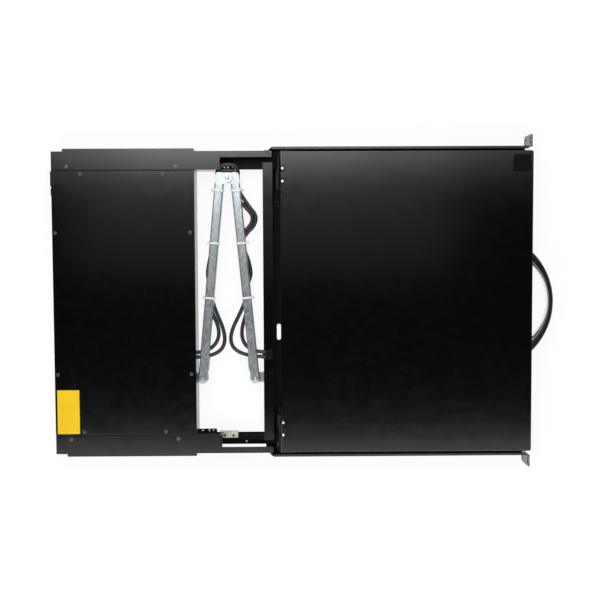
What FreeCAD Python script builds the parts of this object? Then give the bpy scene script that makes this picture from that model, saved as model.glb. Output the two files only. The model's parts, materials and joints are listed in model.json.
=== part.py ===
import FreeCAD, Part
import math
import os

V = FreeCAD.Vector

# A 1U rack console drawer: a tray with a keyboard and a flip-up display on telescopic slides, and a
# switch box behind it, joined by a folding cable arm.
# Millimetres. X is the width, +Y the depth towards the rear, +Z up. The origin is the centre of the
# rack-ear bolt pattern, on the face of the ears that meets the rack post.

# ---- rack interface
EAR_PITCH_X = 465.1
EAR_PITCH_Z = 31.75
EAR_HEIGHT = 43.6
EAR_MARGIN = 8.75
EAR_INSET = 8.05
SLOT_LENGTH = 10.0
SLOT_HEIGHT = 7.0

# ---- sheet gauges and general clearances
RAIL_SHEET = 1.5
SHEET = 1.2
MOVE_GAP = 0.3
PIN_FIT = 0.05
BEND = 3.0

# ---- fixed frame
RAIL_LENGTH = 372.0
RAIL_DROP = 2.8
RAIL_FLANGE = 3.6
RAIL_FOOT = 12.0
JOGGLE_RUN = 5.0
JOGGLE_IN = 4.3
TONGUE_LENGTH = 43.0
TONGUE_HEIGHT = 10.0
BRACKET_GAP = 0.3
BRACKET_NARROW_FLANGE = 9.0
BRACKET_NARROW_RUN = 74.3
BRACKET_CHANNEL = 24.0
CHANNEL_SETBACK = 9.7
GUIDE_SETBACK = 0.6
GUIDE_LENGTH = 188.0
GUIDE_DEPTH = 3.8
GUIDE_LIP = 9.0

# ---- switch box
ARM_BAY = 111.4
BOX_DEPTH = 204.6
COVER_RISE = 1.0
BOX_SEAT = 0.2
LIP_WIDTH = 9.0
BOARD = 1.6
BOARD_POST = 6.0
JACK_COUNT = 8
JACK_PITCH = 14.6
JACK_DEEP = 14.0
JACK_HEIGHT = 13.5
JACK_NOSE_W = 14.0
JACK_OPENING_W = 11.7
JACK_OPENING_H = 8.0
JACKS_FIRST_X = -165.0
INLET_EDGE = 1.5
INLET_Z = -1.0
INLET_W = 20.0
INLET_H = 27.0
ROCKER_PITCH = 18.3
ROCKER_W = 10.8
ROCKER_H = 15.2
ROCKER_WALL = 1.2
ROCKER_PIN = 1.2
ROCKER_PIN_DEEP = 3.0
CONSOLE_PORT_X = -11.0
SERIAL_PORT_X = 30.0
USB_X = 75.0

# ---- telescopic slides
SLIDE_LENGTH = 367.5
SLIDE_FRONT = 4.0
SLIDE_PACK = 13.8
SLIDE_SHEET = 1.2
SLIDE_OUTER_H = 19.0
SLIDE_BALL = 2.0
SLIDE_OUTER_FLANGE = 8.5
SLIDE_MIDDLE_WEB_GAP = 1.2
SLIDE_MIDDLE_FLANGE = 8.8
SLIDE_INNER_FLANGE = 8.3
TRAVEL = 380.0

# ---- drawer
FRONT_Y = -3.9
DRAWER_TOP = 0.0
DRAWER_LIFT = 1.8
DRAWER_FLANGE = 14.2
DRAWER_TAIL_GAP = 5.4
TRAY_SETBACK = 0.2
BEAM_DEPTH = 14.2
BEAM_DROP = 11.0
BEAM_END_GAP = 5.5
RELIEF_WALL = 1.7
RELIEF_EDGE = 1.0
RELIEF_NOTCH = 7.0
RELIEF_LOW = -4.5
DECK_TOP = -3.6
DECK_WALL = 1.8
TOUCH_W = 70.0
TOUCH_D = 52.0
TOUCH_FRONT = 33.0
BUTTON_D = 12.0
BUTTON_GAP = 0.6
BUTTON_TRAVEL = 0.8

# ---- keyboard
KEY_PITCH = 19.05
KEY_GAP = 1.6
KEY_TAPER = 1.3
KEY_TOP = 0.9
KEY_TRAVEL = 2.2
KEY_FOOT = -6.0
STEM = 4.0
STEM_END = -13.0
FUNCTION_ROW = 13.0
ROW_GAP = 5.0
PAD_GAP = 0.25
KEYS_FRONT = 108.0
WELL_MARGIN = 1.5

# ---- display lid
LID_SIDE_GAP = 4.8
LID_FACE = 2.5
HINGE_INSET = 14.3
LID_OVERRUN = 2.5
TAB_CLEAR = 1.2
TAB_WIDTH = 55.2
POCKET_WIDTH = 13.0
POCKET_DEPTH = 11.5
BEZEL_SHEET = 2.0
BEZEL_SIDE = 30.2
BEZEL_REAR = 38.5
SCREEN_FRONT = 18.0
PANEL_MARGIN = 11.0
PANEL_THICK = 11.0
PIN_R = 3.0
BARREL_GAP = 0.6
LEAF_WIDTH = 40.0
LEAF_REACH = 37.5
OSD_COUNT = 6
OSD_PITCH = 14.0
OSD_R = 3.0
OSD_INSET = 20.5

# ---- handles
HANDLE_CHORD = 145.0
HANDLE_REACH = 31.0
HANDLE_INNER_CHORD = 119.0
HANDLE_INNER_REACH = 25.4
HANDLE_MARGIN = 3.5
STRAP_CHORD = 123.0
STRAP_REACH = 32.0
STRAP_THICK = 3.0
STRAP_MARGIN = 4.0
STRAP_HEIGHT = 11.5

# ---- folding cable arm
ARM_LENGTH = 294.0
KNEE_GAP = 11.4
REAR_PIVOT_GAP = 8.7
FRONT_PIVOT_GAP = 12.4
ARM_WIDTH = 13.0
ARM_HEIGHT = 12.0
ARM_TOP = 16.0
ARM_OFFSET = 10.8
LUG_R = 7.0
LUG_BACK = 9.0
LUG_STACK = 1.7
STUD_R = 2.5
RIVET_HEAD_R = 4.2
RIVET_HEAD = 1.5
WASHER_R = 6.0
WASHER = 1.6
BRACKET_LOW_SIDE = 6.2
BRACKET_HIGH_SIDE = 8.2
BRACKET_REACH = 7.6
BRACKET_CORNER = 4.2
BRACKET_FLANGE = 4.0
TIE_PLACES = (119.0, 198.5, 275.0)
TIE_BAND = 3.6
TIE_THICK = 1.1

# ---- cables
CABLE_D = 4.5
CABLE_SPREAD = 2.4
CABLE_HIGH = 7.6
CABLE_LOW = 1.1
JOIN_REACH = 130.0
RISE_END = 182.0
KNEE_JOIN = 262.0
KNEE_EXIT = 280.0
KNEE_BEND = 22.4
KNEE_SIDE = 9.6
END_RUN = 5.0
RISE_AGAIN = 236.0
REAR_SLACK = ((138.0, 2.4), (152.0, 7.2), (172.0, 6.0), (190.0, 2.4), (206.0, 2.4))
FRONT_SLACK = ((138.0, 2.4), (152.0, 9.5), (172.0, 7.5), (190.0, 2.4), (204.0, 2.4), (212.0, 8.0),
               (222.0, 21.0), (236.0, 25.5), (250.0, 16.0))
OUTER_LEAD = 31.0
INNER_LEAD = 37.8

# ---- places across the width
RAIL_OUT = EAR_PITCH_X / 2 - EAR_INSET
RAIL_IN = RAIL_OUT - RAIL_SHEET
EAR_TIP = EAR_PITCH_X / 2 + EAR_MARGIN
BRACKET_OUT = RAIL_IN - JOGGLE_IN
BRACKET_IN = BRACKET_OUT - RAIL_SHEET
CHANNEL_IN = BRACKET_IN - BRACKET_CHANNEL
CHANNEL_FACE = CHANNEL_IN - SHEET
BOX_OUT = CHANNEL_FACE - BOX_SEAT
DRAWER_OUT = RAIL_IN - SLIDE_PACK
DRAWER_IN = DRAWER_OUT - SHEET
FLANGE_IN = DRAWER_OUT - DRAWER_FLANGE
LID_OUT = RAIL_IN - LID_SIDE_GAP
TAB_INNER_X = LID_OUT - TAB_WIDTH
POCKET_X = TAB_INNER_X - POCKET_WIDTH
LEAF_INNER_X = TAB_INNER_X + 3.0
LEAF_OUTER_X = LEAF_INNER_X + LEAF_WIDTH
SCREEN_W = 2 * (LID_OUT - BEZEL_SIDE)
INLET_X = BOX_OUT - INLET_EDGE - INLET_W / 2
ROCKER_X = INLET_X - ROCKER_PITCH

# ---- places along the depth
BRACKET_FRONT = RAIL_LENGTH + BRACKET_GAP
BRACKET_WIDE_FROM = BRACKET_FRONT + BRACKET_NARROW_RUN
CHANNEL_FRONT = BRACKET_WIDE_FROM + CHANNEL_SETBACK
BOX_FRONT = RAIL_LENGTH + ARM_BAY
BOX_REAR = BOX_FRONT + BOX_DEPTH
GUIDE_FRONT = BOX_FRONT + GUIDE_SETBACK
GUIDE_REAR = GUIDE_FRONT + GUIDE_LENGTH
TRAY_REAR = RAIL_LENGTH - TRAY_SETBACK
BEAM_REAR = TRAY_REAR + BEAM_DEPTH
DRAWER_REAR = BOX_FRONT - DRAWER_TAIL_GAP
HINGE_Y = TRAY_REAR - HINGE_INSET
LID_CENTRE_REAR = HINGE_Y + LID_OVERRUN
POCKET_FRONT = HINGE_Y - POCKET_DEPTH
LEAF_FRONT = HINGE_Y - LEAF_REACH
OSD_Y = HINGE_Y - OSD_INSET
DECK_REAR = POCKET_FRONT - 12.0
SCREEN_D = HINGE_Y - BEZEL_REAR - SCREEN_FRONT

# ---- heights
BASE = -EAR_HEIGHT / 2
RAIL_TOP = EAR_HEIGHT / 2 - RAIL_DROP
BOX_TOP = RAIL_TOP + COVER_RISE
LID_TOP = BOX_TOP
DRAWER_BOTTOM = BASE + DRAWER_LIFT
TRAY_LEVEL = DRAWER_BOTTOM + 2 * SHEET
SLIDE_MID_Z = (DRAWER_BOTTOM + DRAWER_TOP) / 2
TONGUE_LOW = BASE + 8.8
TONGUE_HIGH = TONGUE_LOW + TONGUE_HEIGHT
TAB_R = (LID_TOP - DRAWER_TOP - TAB_CLEAR) / 2
HINGE_Z = LID_TOP - TAB_R
BARREL_R = TAB_R - SHEET - BARREL_GAP
BEAM_TOP = DRAWER_TOP + SHEET + MOVE_GAP
HANDLE_LOW = LID_FACE + HANDLE_MARGIN
HANDLE_HIGH = LID_TOP - HANDLE_MARGIN
STRAP_LOW = DRAWER_BOTTOM + STRAP_MARGIN
STRAP_HIGH = STRAP_LOW + STRAP_HEIGHT

# ---- cable arm, shut
REAR_PIVOT_Y = BOX_FRONT - REAR_PIVOT_GAP
FRONT_PIVOT_Y = BEAM_REAR + FRONT_PIVOT_GAP
ARM_AXIS_LENGTH = math.sqrt(ARM_LENGTH ** 2 - ARM_OFFSET ** 2)
FOLD_ANGLE = math.degrees(math.asin((REAR_PIVOT_Y - FRONT_PIVOT_Y) / 2 / ARM_LENGTH))
AXIS_ANGLE = FOLD_ANGLE - math.degrees(math.asin(ARM_OFFSET / ARM_LENGTH))
KNEE_X = CHANNEL_FACE - KNEE_GAP
KNEE_Y = (REAR_PIVOT_Y + FRONT_PIVOT_Y) / 2
PIVOT_X = KNEE_X - ARM_LENGTH * math.cos(math.radians(FOLD_ANGLE))
LEADS = (PIVOT_X + OUTER_LEAD, PIVOT_X + INNER_LEAD)


# ---------------------------------------------------------------- helpers
def box(x0, x1, y0, y1, z0, z1):
    return Part.makeBox(x1 - x0, y1 - y0, z1 - z0, V(x0, y0, z0))


def rod(radius, start, end):
    line = end - start
    return Part.makeCylinder(radius, line.Length, start, line)


def prism(points, push):
    outline = Part.makePolygon([*points, points[0]])
    return Part.Face(outline).extrude(push)


def along_x(yz, x0, x1):
    return prism([V(x0, y, z) for y, z in yz], V(x1 - x0, 0, 0))


def along_y(xz, y0, y1):
    return prism([V(x, y0, z) for x, z in xz], V(0, y1 - y0, 0))


def along_z(xy, z0, z1):
    return prism([V(x, y, z0) for x, y in xy], V(0, 0, z1 - z0))


def joined(solids):
    return solids[0].multiFuse(solids[1:]).removeSplitter() if len(solids) > 1 else solids[0]


def mirrored(shape):
    return shape.mirror(V(0, 0, 0), V(1, 0, 0))


def round_edges(shape, radius, wanted):
    return shape.makeFillet(radius, [edge for edge in shape.Edges if wanted(edge)])


def runs_along(edge, axis):
    ends = edge.Vertexes
    if len(ends) != 2:
        return False
    line = ends[1].Point - ends[0].Point
    return line.Length > 0 and abs(line.normalize().dot(axis)) > 0.999


def channel(outer, inner, low, high, sheet, y0, y1):
    """A sheet-metal C, open towards the inner side, with its web at the outer side."""
    if outer > inner:
        web = (outer - sheet, outer)
    else:
        web = (outer, outer + sheet)
    span = (min(outer, inner), max(outer, inner))
    return joined([
        box(*web, y0, y1, low, high),
        box(*span, y0, y1, low, low + sheet),
        box(*span, y0, y1, high - sheet, high),
    ])


def save(node, shape):
    for solid in shape.Solids:
        if not solid.isValid():
            print("not valid:", node)
    shape.exportStep(f"parts/{node}.step")


def save_pair(node, right):
    save(f"{node}_right", right)
    save(f"{node}_left", mirrored(right))


# ---------------------------------------------------------------- cables
def path(points):
    """Straight runs joined by tangent arcs, each as large as its two runs allow."""
    edges = []
    start = points[0]
    radii = []
    for before, corner, after in zip(points, points[1:], points[2:]):
        run_in = corner - before
        run_out = after - corner
        turn = run_in.getAngle(run_out)
        reach = 0.45 * min(run_in.Length, run_out.Length)
        radii.append(reach / math.tan(turn / 2))
        to_corner = V(run_in).normalize()
        from_corner = V(run_out).normalize()
        arc_start = corner - to_corner * reach
        arc_end = corner + from_corner * reach
        inward = V(from_corner - to_corner).normalize()
        bulge = radii[-1] * (1 / math.cos(turn / 2) - 1)
        edges.append(Part.LineSegment(start, arc_start).toShape())
        edges.append(Part.Arc(arc_start, corner + inward * bulge, arc_end).toShape())
        start = arc_end
    edges.append(Part.LineSegment(start, points[-1]).toShape())
    return Part.Wire(edges), radii


def cable(name, points):
    points = [V(*point) for point in points]
    wire, radii = path(points)
    circle = Part.Circle(points[0], points[1] - points[0], CABLE_D / 2).toShape()
    tube = wire.makePipeShell([Part.Wire([circle])], True, False)
    share = tube.Volume / (math.pi * CABLE_D ** 2 / 4 * wire.Length)
    print(f"{name}: {wire.Length:.0f} mm long, smallest radius {min(radii):.1f}, volume share {share:.4f}")
    return tube


# ---------------------------------------------------------------- fixed frame
def ear_slots():
    centre_x = EAR_PITCH_X / 2
    cuts = []
    for z in (-EAR_PITCH_Z / 2, EAR_PITCH_Z / 2):
        half = (SLOT_LENGTH - SLOT_HEIGHT) / 2
        radius = SLOT_HEIGHT / 2
        cuts.append(box(centre_x - half, centre_x + half, -9, 9, z - radius, z + radius))
        for x in (centre_x - half, centre_x + half):
            cuts.append(rod(radius, V(x, -9, z), V(x, 9, z)))
    return joined(cuts)


def side_rail():
    """A shallow C rail whose front end is bent out into the rack ear."""
    tongue_x = BRACKET_OUT
    body = along_z([
        (RAIL_IN, 0), (RAIL_OUT, 0), (RAIL_OUT, RAIL_LENGTH),
        (tongue_x + RAIL_SHEET, RAIL_LENGTH + JOGGLE_RUN),
        (tongue_x, RAIL_LENGTH + JOGGLE_RUN), (RAIL_IN, RAIL_LENGTH),
    ], BASE, RAIL_TOP)
    ear = box(RAIL_IN, EAR_TIP, -RAIL_SHEET, 0, BASE, -BASE)
    ear = round_edges(ear, BEND, lambda e: runs_along(e, V(0, 1, 0)) and e.CenterOfMass.x > RAIL_OUT)
    root = box(RAIL_IN, RAIL_OUT, -RAIL_SHEET, BEND, BASE, -BASE)
    rail = joined([body, ear, root])
    corner = [e for e in rail.Edges if runs_along(e, V(0, 0, 1))
              and abs(e.CenterOfMass.x - RAIL_IN) < 0.01 and abs(e.CenterOfMass.y + RAIL_SHEET) < 0.01]
    rail = rail.makeFillet(RAIL_SHEET, corner)
    top = box(RAIL_OUT - RAIL_FLANGE, RAIL_IN + 0.2, BEND, RAIL_LENGTH, RAIL_TOP - RAIL_SHEET, RAIL_TOP)
    foot = box(RAIL_OUT - RAIL_FOOT, RAIL_IN + 0.2, BEND, RAIL_LENGTH, BASE, BASE + RAIL_SHEET)
    tongue_y = RAIL_LENGTH + JOGGLE_RUN
    tongue = box(tongue_x, tongue_x + RAIL_SHEET, tongue_y, tongue_y + TONGUE_LENGTH,
                 TONGUE_LOW, TONGUE_HIGH)
    return joined([rail, top, foot, tongue]).cut(ear_slots())


def rear_bracket(with_ledge):
    """A channel that carries the switch box, houses the drawer arm and holds the rear rack guide.

    The one on the knee's side has a ledge below the drawer arm as well."""
    top = RAIL_TOP - SHEET
    narrow = BRACKET_OUT - BRACKET_NARROW_FLANGE
    wall_low = BASE if with_ledge else TONGUE_LOW - 1
    wall_front = box(BRACKET_IN, BRACKET_OUT, BRACKET_FRONT, BOX_FRONT, wall_low, RAIL_TOP)
    wall_rear = box(BRACKET_IN, BRACKET_OUT, BOX_FRONT, BOX_REAR, BASE, RAIL_TOP)
    flange_front = box(narrow, BRACKET_OUT, BRACKET_FRONT, BRACKET_WIDE_FROM, top, RAIL_TOP)
    flange_rear = box(CHANNEL_FACE, BRACKET_OUT, BRACKET_WIDE_FROM, BOX_REAR, top, RAIL_TOP)
    inner_wall = box(CHANNEL_FACE, CHANNEL_IN, CHANNEL_FRONT, BOX_REAR, BASE + SHEET, RAIL_TOP)
    foot = box(CHANNEL_FACE, BRACKET_OUT, BOX_FRONT, BOX_REAR, BASE, BASE + SHEET)
    guide_out = BRACKET_OUT + GUIDE_DEPTH
    guide_high = RAIL_TOP
    guide_low = BASE + SHEET
    guide = [
        box(BRACKET_OUT, guide_out, GUIDE_FRONT, GUIDE_REAR, guide_high - SHEET, guide_high),
        box(guide_out - SHEET, guide_out, GUIDE_FRONT, GUIDE_REAR, guide_high - GUIDE_LIP, guide_high),
        box(BRACKET_OUT, guide_out, GUIDE_FRONT, GUIDE_REAR, guide_low, guide_low + SHEET),
        box(guide_out - SHEET, guide_out, GUIDE_FRONT, GUIDE_REAR, guide_low, guide_low + GUIDE_LIP),
    ]
    ledge = [box(narrow, BRACKET_IN, BRACKET_FRONT, BOX_FRONT, BASE, BASE + SHEET)] if with_ledge else []
    solid = joined([wall_front, wall_rear, flange_front, flange_rear, inner_wall, foot, *guide, *ledge])
    return solid.cut(bracket_screws())


# ---------------------------------------------------------------- telescopic slides
def slide_outer():
    low = SLIDE_MID_Z - SLIDE_OUTER_H / 2
    rail = channel(RAIL_IN, RAIL_IN - SLIDE_OUTER_FLANGE, low, low + SLIDE_OUTER_H, SLIDE_SHEET,
                   SLIDE_FRONT, SLIDE_FRONT + SLIDE_LENGTH)
    return round_edges(rail, SLIDE_SHEET * 0.9, lambda e: runs_along(e, V(0, 1, 0))
                       and abs(e.CenterOfMass.x - RAIL_IN) < 0.01)


def middle_height():
    return SLIDE_OUTER_H - 2 * (SLIDE_SHEET + SLIDE_BALL)


def inner_height():
    return middle_height() - 2 * (SLIDE_SHEET + SLIDE_BALL)


def ball_strip(x0, x1, flange_face, outward, y0, y1):
    """A ball cage carried on a flange face, with a running gap to the member it rolls in."""
    z0, z1 = sorted((flange_face, flange_face + outward * (SLIDE_BALL - MOVE_GAP)))
    return box(x0, x1, y0, y1, z0, z1)


def slide_middle():
    half = middle_height() / 2
    web = RAIL_IN - SLIDE_SHEET - SLIDE_MIDDLE_WEB_GAP
    rear = SLIDE_FRONT + SLIDE_LENGTH
    rail = channel(web, web - SLIDE_MIDDLE_FLANGE, SLIDE_MID_Z - half, SLIDE_MID_Z + half, SLIDE_SHEET,
                   SLIDE_FRONT, rear)
    rail = round_edges(rail, SLIDE_SHEET * 0.9, lambda e: runs_along(e, V(0, 1, 0))
                       and abs(e.CenterOfMass.x - web) < 0.01)
    cage = SLIDE_LENGTH - TRAVEL / 2 - 15
    strips = []
    for side in (-1, 1):
        outer_face = SLIDE_MID_Z + side * half
        inner_face = SLIDE_MID_Z + side * (half - SLIDE_SHEET)
        strips.append(ball_strip(web - 6.0, web - 2.0, outer_face, side, rear - 5 - cage, rear - 5))
        strips.append(ball_strip(web - 6.5, web - 2.5, inner_face, -side, SLIDE_FRONT + 5,
                                 SLIDE_FRONT + 5 + cage))
    return joined([rail, *strips])


def slide_inner():
    half = inner_height() / 2
    rail = channel(DRAWER_OUT, DRAWER_OUT + SLIDE_INNER_FLANGE, SLIDE_MID_Z - half, SLIDE_MID_Z + half,
                   SLIDE_SHEET, SLIDE_FRONT, SLIDE_FRONT + SLIDE_LENGTH)
    return rail


def release_lever():
    """The slide lock's pull tab, guided between the flanges of the inner slide member."""
    x0 = DRAWER_OUT + SLIDE_SHEET + MOVE_GAP
    half = inner_height() / 2 - SLIDE_SHEET - MOVE_GAP
    stem = box(x0, x0 + 2.0, SLIDE_FRONT + 8, SLIDE_FRONT + 70, SLIDE_MID_Z - half, SLIDE_MID_Z + half)
    thumb = box(x0, x0 + 3.8, SLIDE_FRONT + 8, SLIDE_FRONT + 22, SLIDE_MID_Z - half, SLIDE_MID_Z + half)
    return round_edges(joined([stem, thumb]), 0.8, lambda e: runs_along(e, V(0, 0, 1)))


# ---------------------------------------------------------------- switch box
def switch_base():
    """The box's floor with its two side walls, whose top edges are turned in to take the cover."""
    y0, y1 = BOX_FRONT + RAIL_SHEET, BOX_REAR - SHEET
    cover_seat = BOX_TOP - SHEET
    floor = box(-BOX_OUT, BOX_OUT, y0, y1, BASE, BASE + SHEET)
    wall = box(BOX_OUT - SHEET, BOX_OUT, y0, y1, BASE, cover_seat)
    lip = box(BOX_OUT - LIP_WIDTH, BOX_OUT, y0 + LIP_WIDTH, y1 - LIP_WIDTH, cover_seat - SHEET,
              cover_seat)
    posts = [rod(3.0, V(x, y, BASE + SHEET), V(x, y, board_underside()))
             for x in (-120.0, 40.0) for y in (BOX_FRONT + 40, BOX_REAR - 60)]
    return joined([floor, wall, mirrored(wall), lip, mirrored(lip), *posts]).cut(cover_screws())


def board_underside():
    return BASE + SHEET + BOARD_POST


def switch_cover():
    cover = box(-BOX_OUT, BOX_OUT, BOX_FRONT, BOX_REAR, BOX_TOP - SHEET, BOX_TOP)
    cover = round_edges(cover, 1.0, lambda e: runs_along(e, V(0, 0, 1)))
    return cover.cut(cover_screws())


def switch_front_wall():
    """Zinc wall facing the drawer, with a lip for the cover and a hole for each cable."""
    seat = BOX_TOP - SHEET
    wall = box(-BOX_OUT, BOX_OUT, BOX_FRONT, BOX_FRONT + RAIL_SHEET, BASE, seat)
    lip = box(SHEET - BOX_OUT, BOX_OUT - SHEET, BOX_FRONT, BOX_FRONT + LIP_WIDTH, seat - SHEET, seat)
    holes = [rod(CABLE_D / 2 + PIN_FIT, V(x, BOX_FRONT - 5, CABLE_LOW), V(x, BOX_FRONT + 5, CABLE_LOW))
             for x in LEADS]
    return joined([wall, lip]).cut([*holes, *cover_screws()])


def jack_places():
    return [JACKS_FIRST_X + i * JACK_PITCH for i in range(JACK_COUNT)]


def rear_openings():
    y0, y1 = BOX_REAR - 5, BOX_REAR + 5
    low = board_underside() + BOARD
    rocker_w, rocker_h = (room + ROCKER_WALL + PIN_FIT for room in rocker_room())
    places = [
        (INLET_X, INLET_W / 2 + PIN_FIT, INLET_Z, INLET_H / 2 + PIN_FIT),
        (ROCKER_X, rocker_w, INLET_Z, rocker_h),
        (CONSOLE_PORT_X, 8.6, low + 6, 5.4),
        (SERIAL_PORT_X, 15.0, low + 6, 5.4),
        (USB_X, 7.4, low + 8, 8.2),
    ]
    cuts = [box(x - w, x + w, y0, y1, z - h, z + h) for x, w, z, h in places]
    for x in jack_places():
        cuts.append(box(x - JACK_NOSE_W / 2, x + JACK_NOSE_W / 2, y0, y1, low, low + JACK_HEIGHT))
    return cuts


def switch_rear_panel():
    seat = BOX_TOP - SHEET
    panel = box(-BOX_OUT, BOX_OUT, BOX_REAR - SHEET, BOX_REAR, BASE, seat)
    lip = box(SHEET - BOX_OUT, BOX_OUT - SHEET, BOX_REAR - LIP_WIDTH, BOX_REAR, seat - SHEET, seat)
    return joined([panel, lip]).cut([*rear_openings(), *cover_screws()])


def switch_board():
    low = board_underside()
    board = box(-BOX_OUT + 19.8, 100.0, BOX_FRONT + 12, BOX_REAR - SHEET - 1.0, low, low + BOARD)
    chips = [box(x - 14, x + 14, BOX_FRONT + 56, BOX_FRONT + 84, low + BOARD, low + BOARD + 3)
             for x in (-100.0, -30.0, 45.0)]
    return joined([board, *chips])


def power_supply():
    low = BASE + SHEET
    face = low + BOARD
    board = box(116.0, 184.0, BOX_FRONT + 14, BOX_REAR - 40, low, face)
    parts = [
        box(124, 150, BOX_FRONT + 50, BOX_FRONT + 76, face, face + 24),
        rod(9, V(168, BOX_FRONT + 40, face), V(168, BOX_FRONT + 40, face + 28)),
        box(160, 180, BOX_FRONT + 70, BOX_FRONT + 100, face, face + 22),
        box(120, 180, BOX_FRONT + 120, BOX_FRONT + 124, face, face + 26),
    ]
    return joined([board, *parts])


def port_jacks():
    """A row of modular jacks: a housing with one open socket for each port."""
    low = board_underside() + BOARD
    places = jack_places()
    half = JACK_PITCH / 2 - 0.4
    panel = BOX_REAR - SHEET
    housing = box(places[0] - half, places[-1] + half, panel - JACK_DEEP - 2, panel, low,
                  low + JACK_HEIGHT)
    noses = [box(x - JACK_NOSE_W / 2 + PIN_FIT, x + JACK_NOSE_W / 2 - PIN_FIT, panel - 1, BOX_REAR + 0.6,
                 low + PIN_FIT, low + JACK_HEIGHT - PIN_FIT) for x in places]
    sockets = [box(x - JACK_OPENING_W / 2, x + JACK_OPENING_W / 2, panel - JACK_DEEP + 2,
                   BOX_REAR + 5, low + 3.2, low + 3.2 + JACK_OPENING_H) for x in places]
    return joined([housing, *noses]).cut(sockets)


def usb_jacks():
    low = board_underside() + BOARD
    shell = box(USB_X - 7.3, USB_X + 7.3, BOX_REAR - 16, BOX_REAR + 0.8, low, low + 16)
    sockets = [box(USB_X - 6.2, USB_X + 6.2, BOX_REAR - 12, BOX_REAR + 5, z, z + 5.6)
               for z in (low + 1.6, low + 8.8)]
    return shell.cut(sockets)


def d_shell(x, half_w, z):
    """A D-shaped connector shell with its flange and two jack screws."""
    y = BOX_REAR
    shape = along_y([(x - half_w, z - 4.2), (x + half_w - 1.4, z - 4.2), (x + half_w, z + 4.2),
                     (x - half_w + 1.4 - 1.4, z + 4.2)], y - 8, y + 5.5)
    shape = round_edges(shape, 1.6, lambda e: runs_along(e, V(0, 1, 0)))
    core = along_y([(x - half_w + 0.9, z - 3.3), (x + half_w - 2.2, z - 3.3), (x + half_w - 0.9, z + 3.3),
                    (x - half_w + 0.9, z + 3.3)], y + 0.5, y + 9)
    flange = box(x - half_w - 7.0, x + half_w + 7.0, y, y + 1.0, z - 6.2, z + 6.2)
    screws = [rod(2.6, V(s, y + 1.0, z), V(s, y + 5.5, z)) for s in (x - half_w - 4.2, x + half_w + 4.2)]
    return joined([shape, flange, *screws]).cut(core)


def console_ports():
    z = board_underside() + BOARD + 6
    return Part.makeCompound([d_shell(CONSOLE_PORT_X, 8.2, z), d_shell(SERIAL_PORT_X, 8.2, z)])


def ac_inlet():
    """A mains inlet standing on its side: a flanged block with an open socket."""
    x, z, y = INLET_X, INLET_Z, BOX_REAR
    half_w, half_h = INLET_W / 2, INLET_H / 2
    block = box(x - half_w, x + half_w, y - 24, y, z - half_h, z + half_h)
    flange = box(x - half_w - 1, x + half_w + 1, y, y + 3.0, z - half_h - 1, z + half_h + 1)
    flange = round_edges(flange, 2.0, lambda e: runs_along(e, V(0, 1, 0)))
    socket = box(x - half_w + 2, x + half_w - 2, y - 14, y + 9, z - half_h + 1.6, z + half_h - 1.6)
    socket = round_edges(socket, 4.0, lambda e: runs_along(e, V(0, 1, 0)) and e.CenterOfMass.x < x)
    return Part.makeCompound([joined([block, flange]).cut(socket), rocker_housing()])


def rocker_room():
    """Half the width and half the height of the well that the rocker tilts in."""
    return ROCKER_W / 2 + MOVE_GAP, ROCKER_H / 2 + 1.2


def rocker_pins(reach, radius):
    centre = V(ROCKER_X, BOX_REAR - ROCKER_PIN_DEEP, INLET_Z)
    return rod(radius, centre - V(reach, 0, 0), centre + V(reach, 0, 0))


def rocker_housing():
    """The body of the mains switch, open at the rear, with a bore in each side wall for the rocker's pins."""
    room_w, room_h = rocker_room()
    out_w, out_h = room_w + ROCKER_WALL, room_h + ROCKER_WALL
    x, y, z = ROCKER_X, BOX_REAR, INLET_Z
    body = box(x - out_w, x + out_w, y - 16, y + 0.8, z - out_h, z + out_h)
    well = box(x - room_w, x + room_w, y - 9, y + 2, z - room_h, z + room_h)
    return body.cut([well, rocker_pins(out_w, ROCKER_PIN + PIN_FIT)])


def ac_rocker():
    """The mains switch: a paddle with one end pressed in, on two pins."""
    z, y, half = INLET_Z, BOX_REAR, ROCKER_H / 2
    profile = [(y - 5, z - half), (y + 1.4, z - half), (y + 2.2, z), (y + 4.2, z + half), (y - 5, z + half)]
    paddle = along_x(profile, ROCKER_X - ROCKER_W / 2, ROCKER_X + ROCKER_W / 2)
    return joined([paddle, rocker_pins(rocker_room()[0] + ROCKER_WALL, ROCKER_PIN)])


def countersunk(x, y, seat, head_r, depth):
    """A flat-headed screw, its head a little proud of the sheet it holds."""
    top = seat + 0.3
    head = Part.makeCone(head_r * 0.5, head_r, head_r * 0.5, V(x, y, top - head_r * 0.5), V(0, 0, 1))
    shank = rod(head_r * 0.5, V(x, y, seat - depth), V(x, y, top - head_r * 0.5))
    return joined([head, shank])


def cover_screws():
    side = BOX_OUT - LIP_WIDTH / 2 - 1.2
    places = [(x, y) for x in (-side, side) for y in (BOX_FRONT + 45.0, BOX_REAR - 41.5)]
    places += [(x, y) for x in (-102.3, 102.3)
               for y in (BOX_FRONT + LIP_WIDTH / 2 + 2.5, BOX_REAR - LIP_WIDTH / 2)]
    return [countersunk(x, y, BOX_TOP, 2.4, 3.4) for x, y in places]


def bracket_screws():
    side = CHANNEL_IN + 4.0
    return [countersunk(x, y, RAIL_TOP, 2.6, 2.4)
            for x in (-side, side) for y in (BOX_FRONT + 27.0, BOX_REAR - 22.0)]


def box_screws():
    return Part.makeCompound([*cover_screws(), *bracket_screws()])


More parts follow.
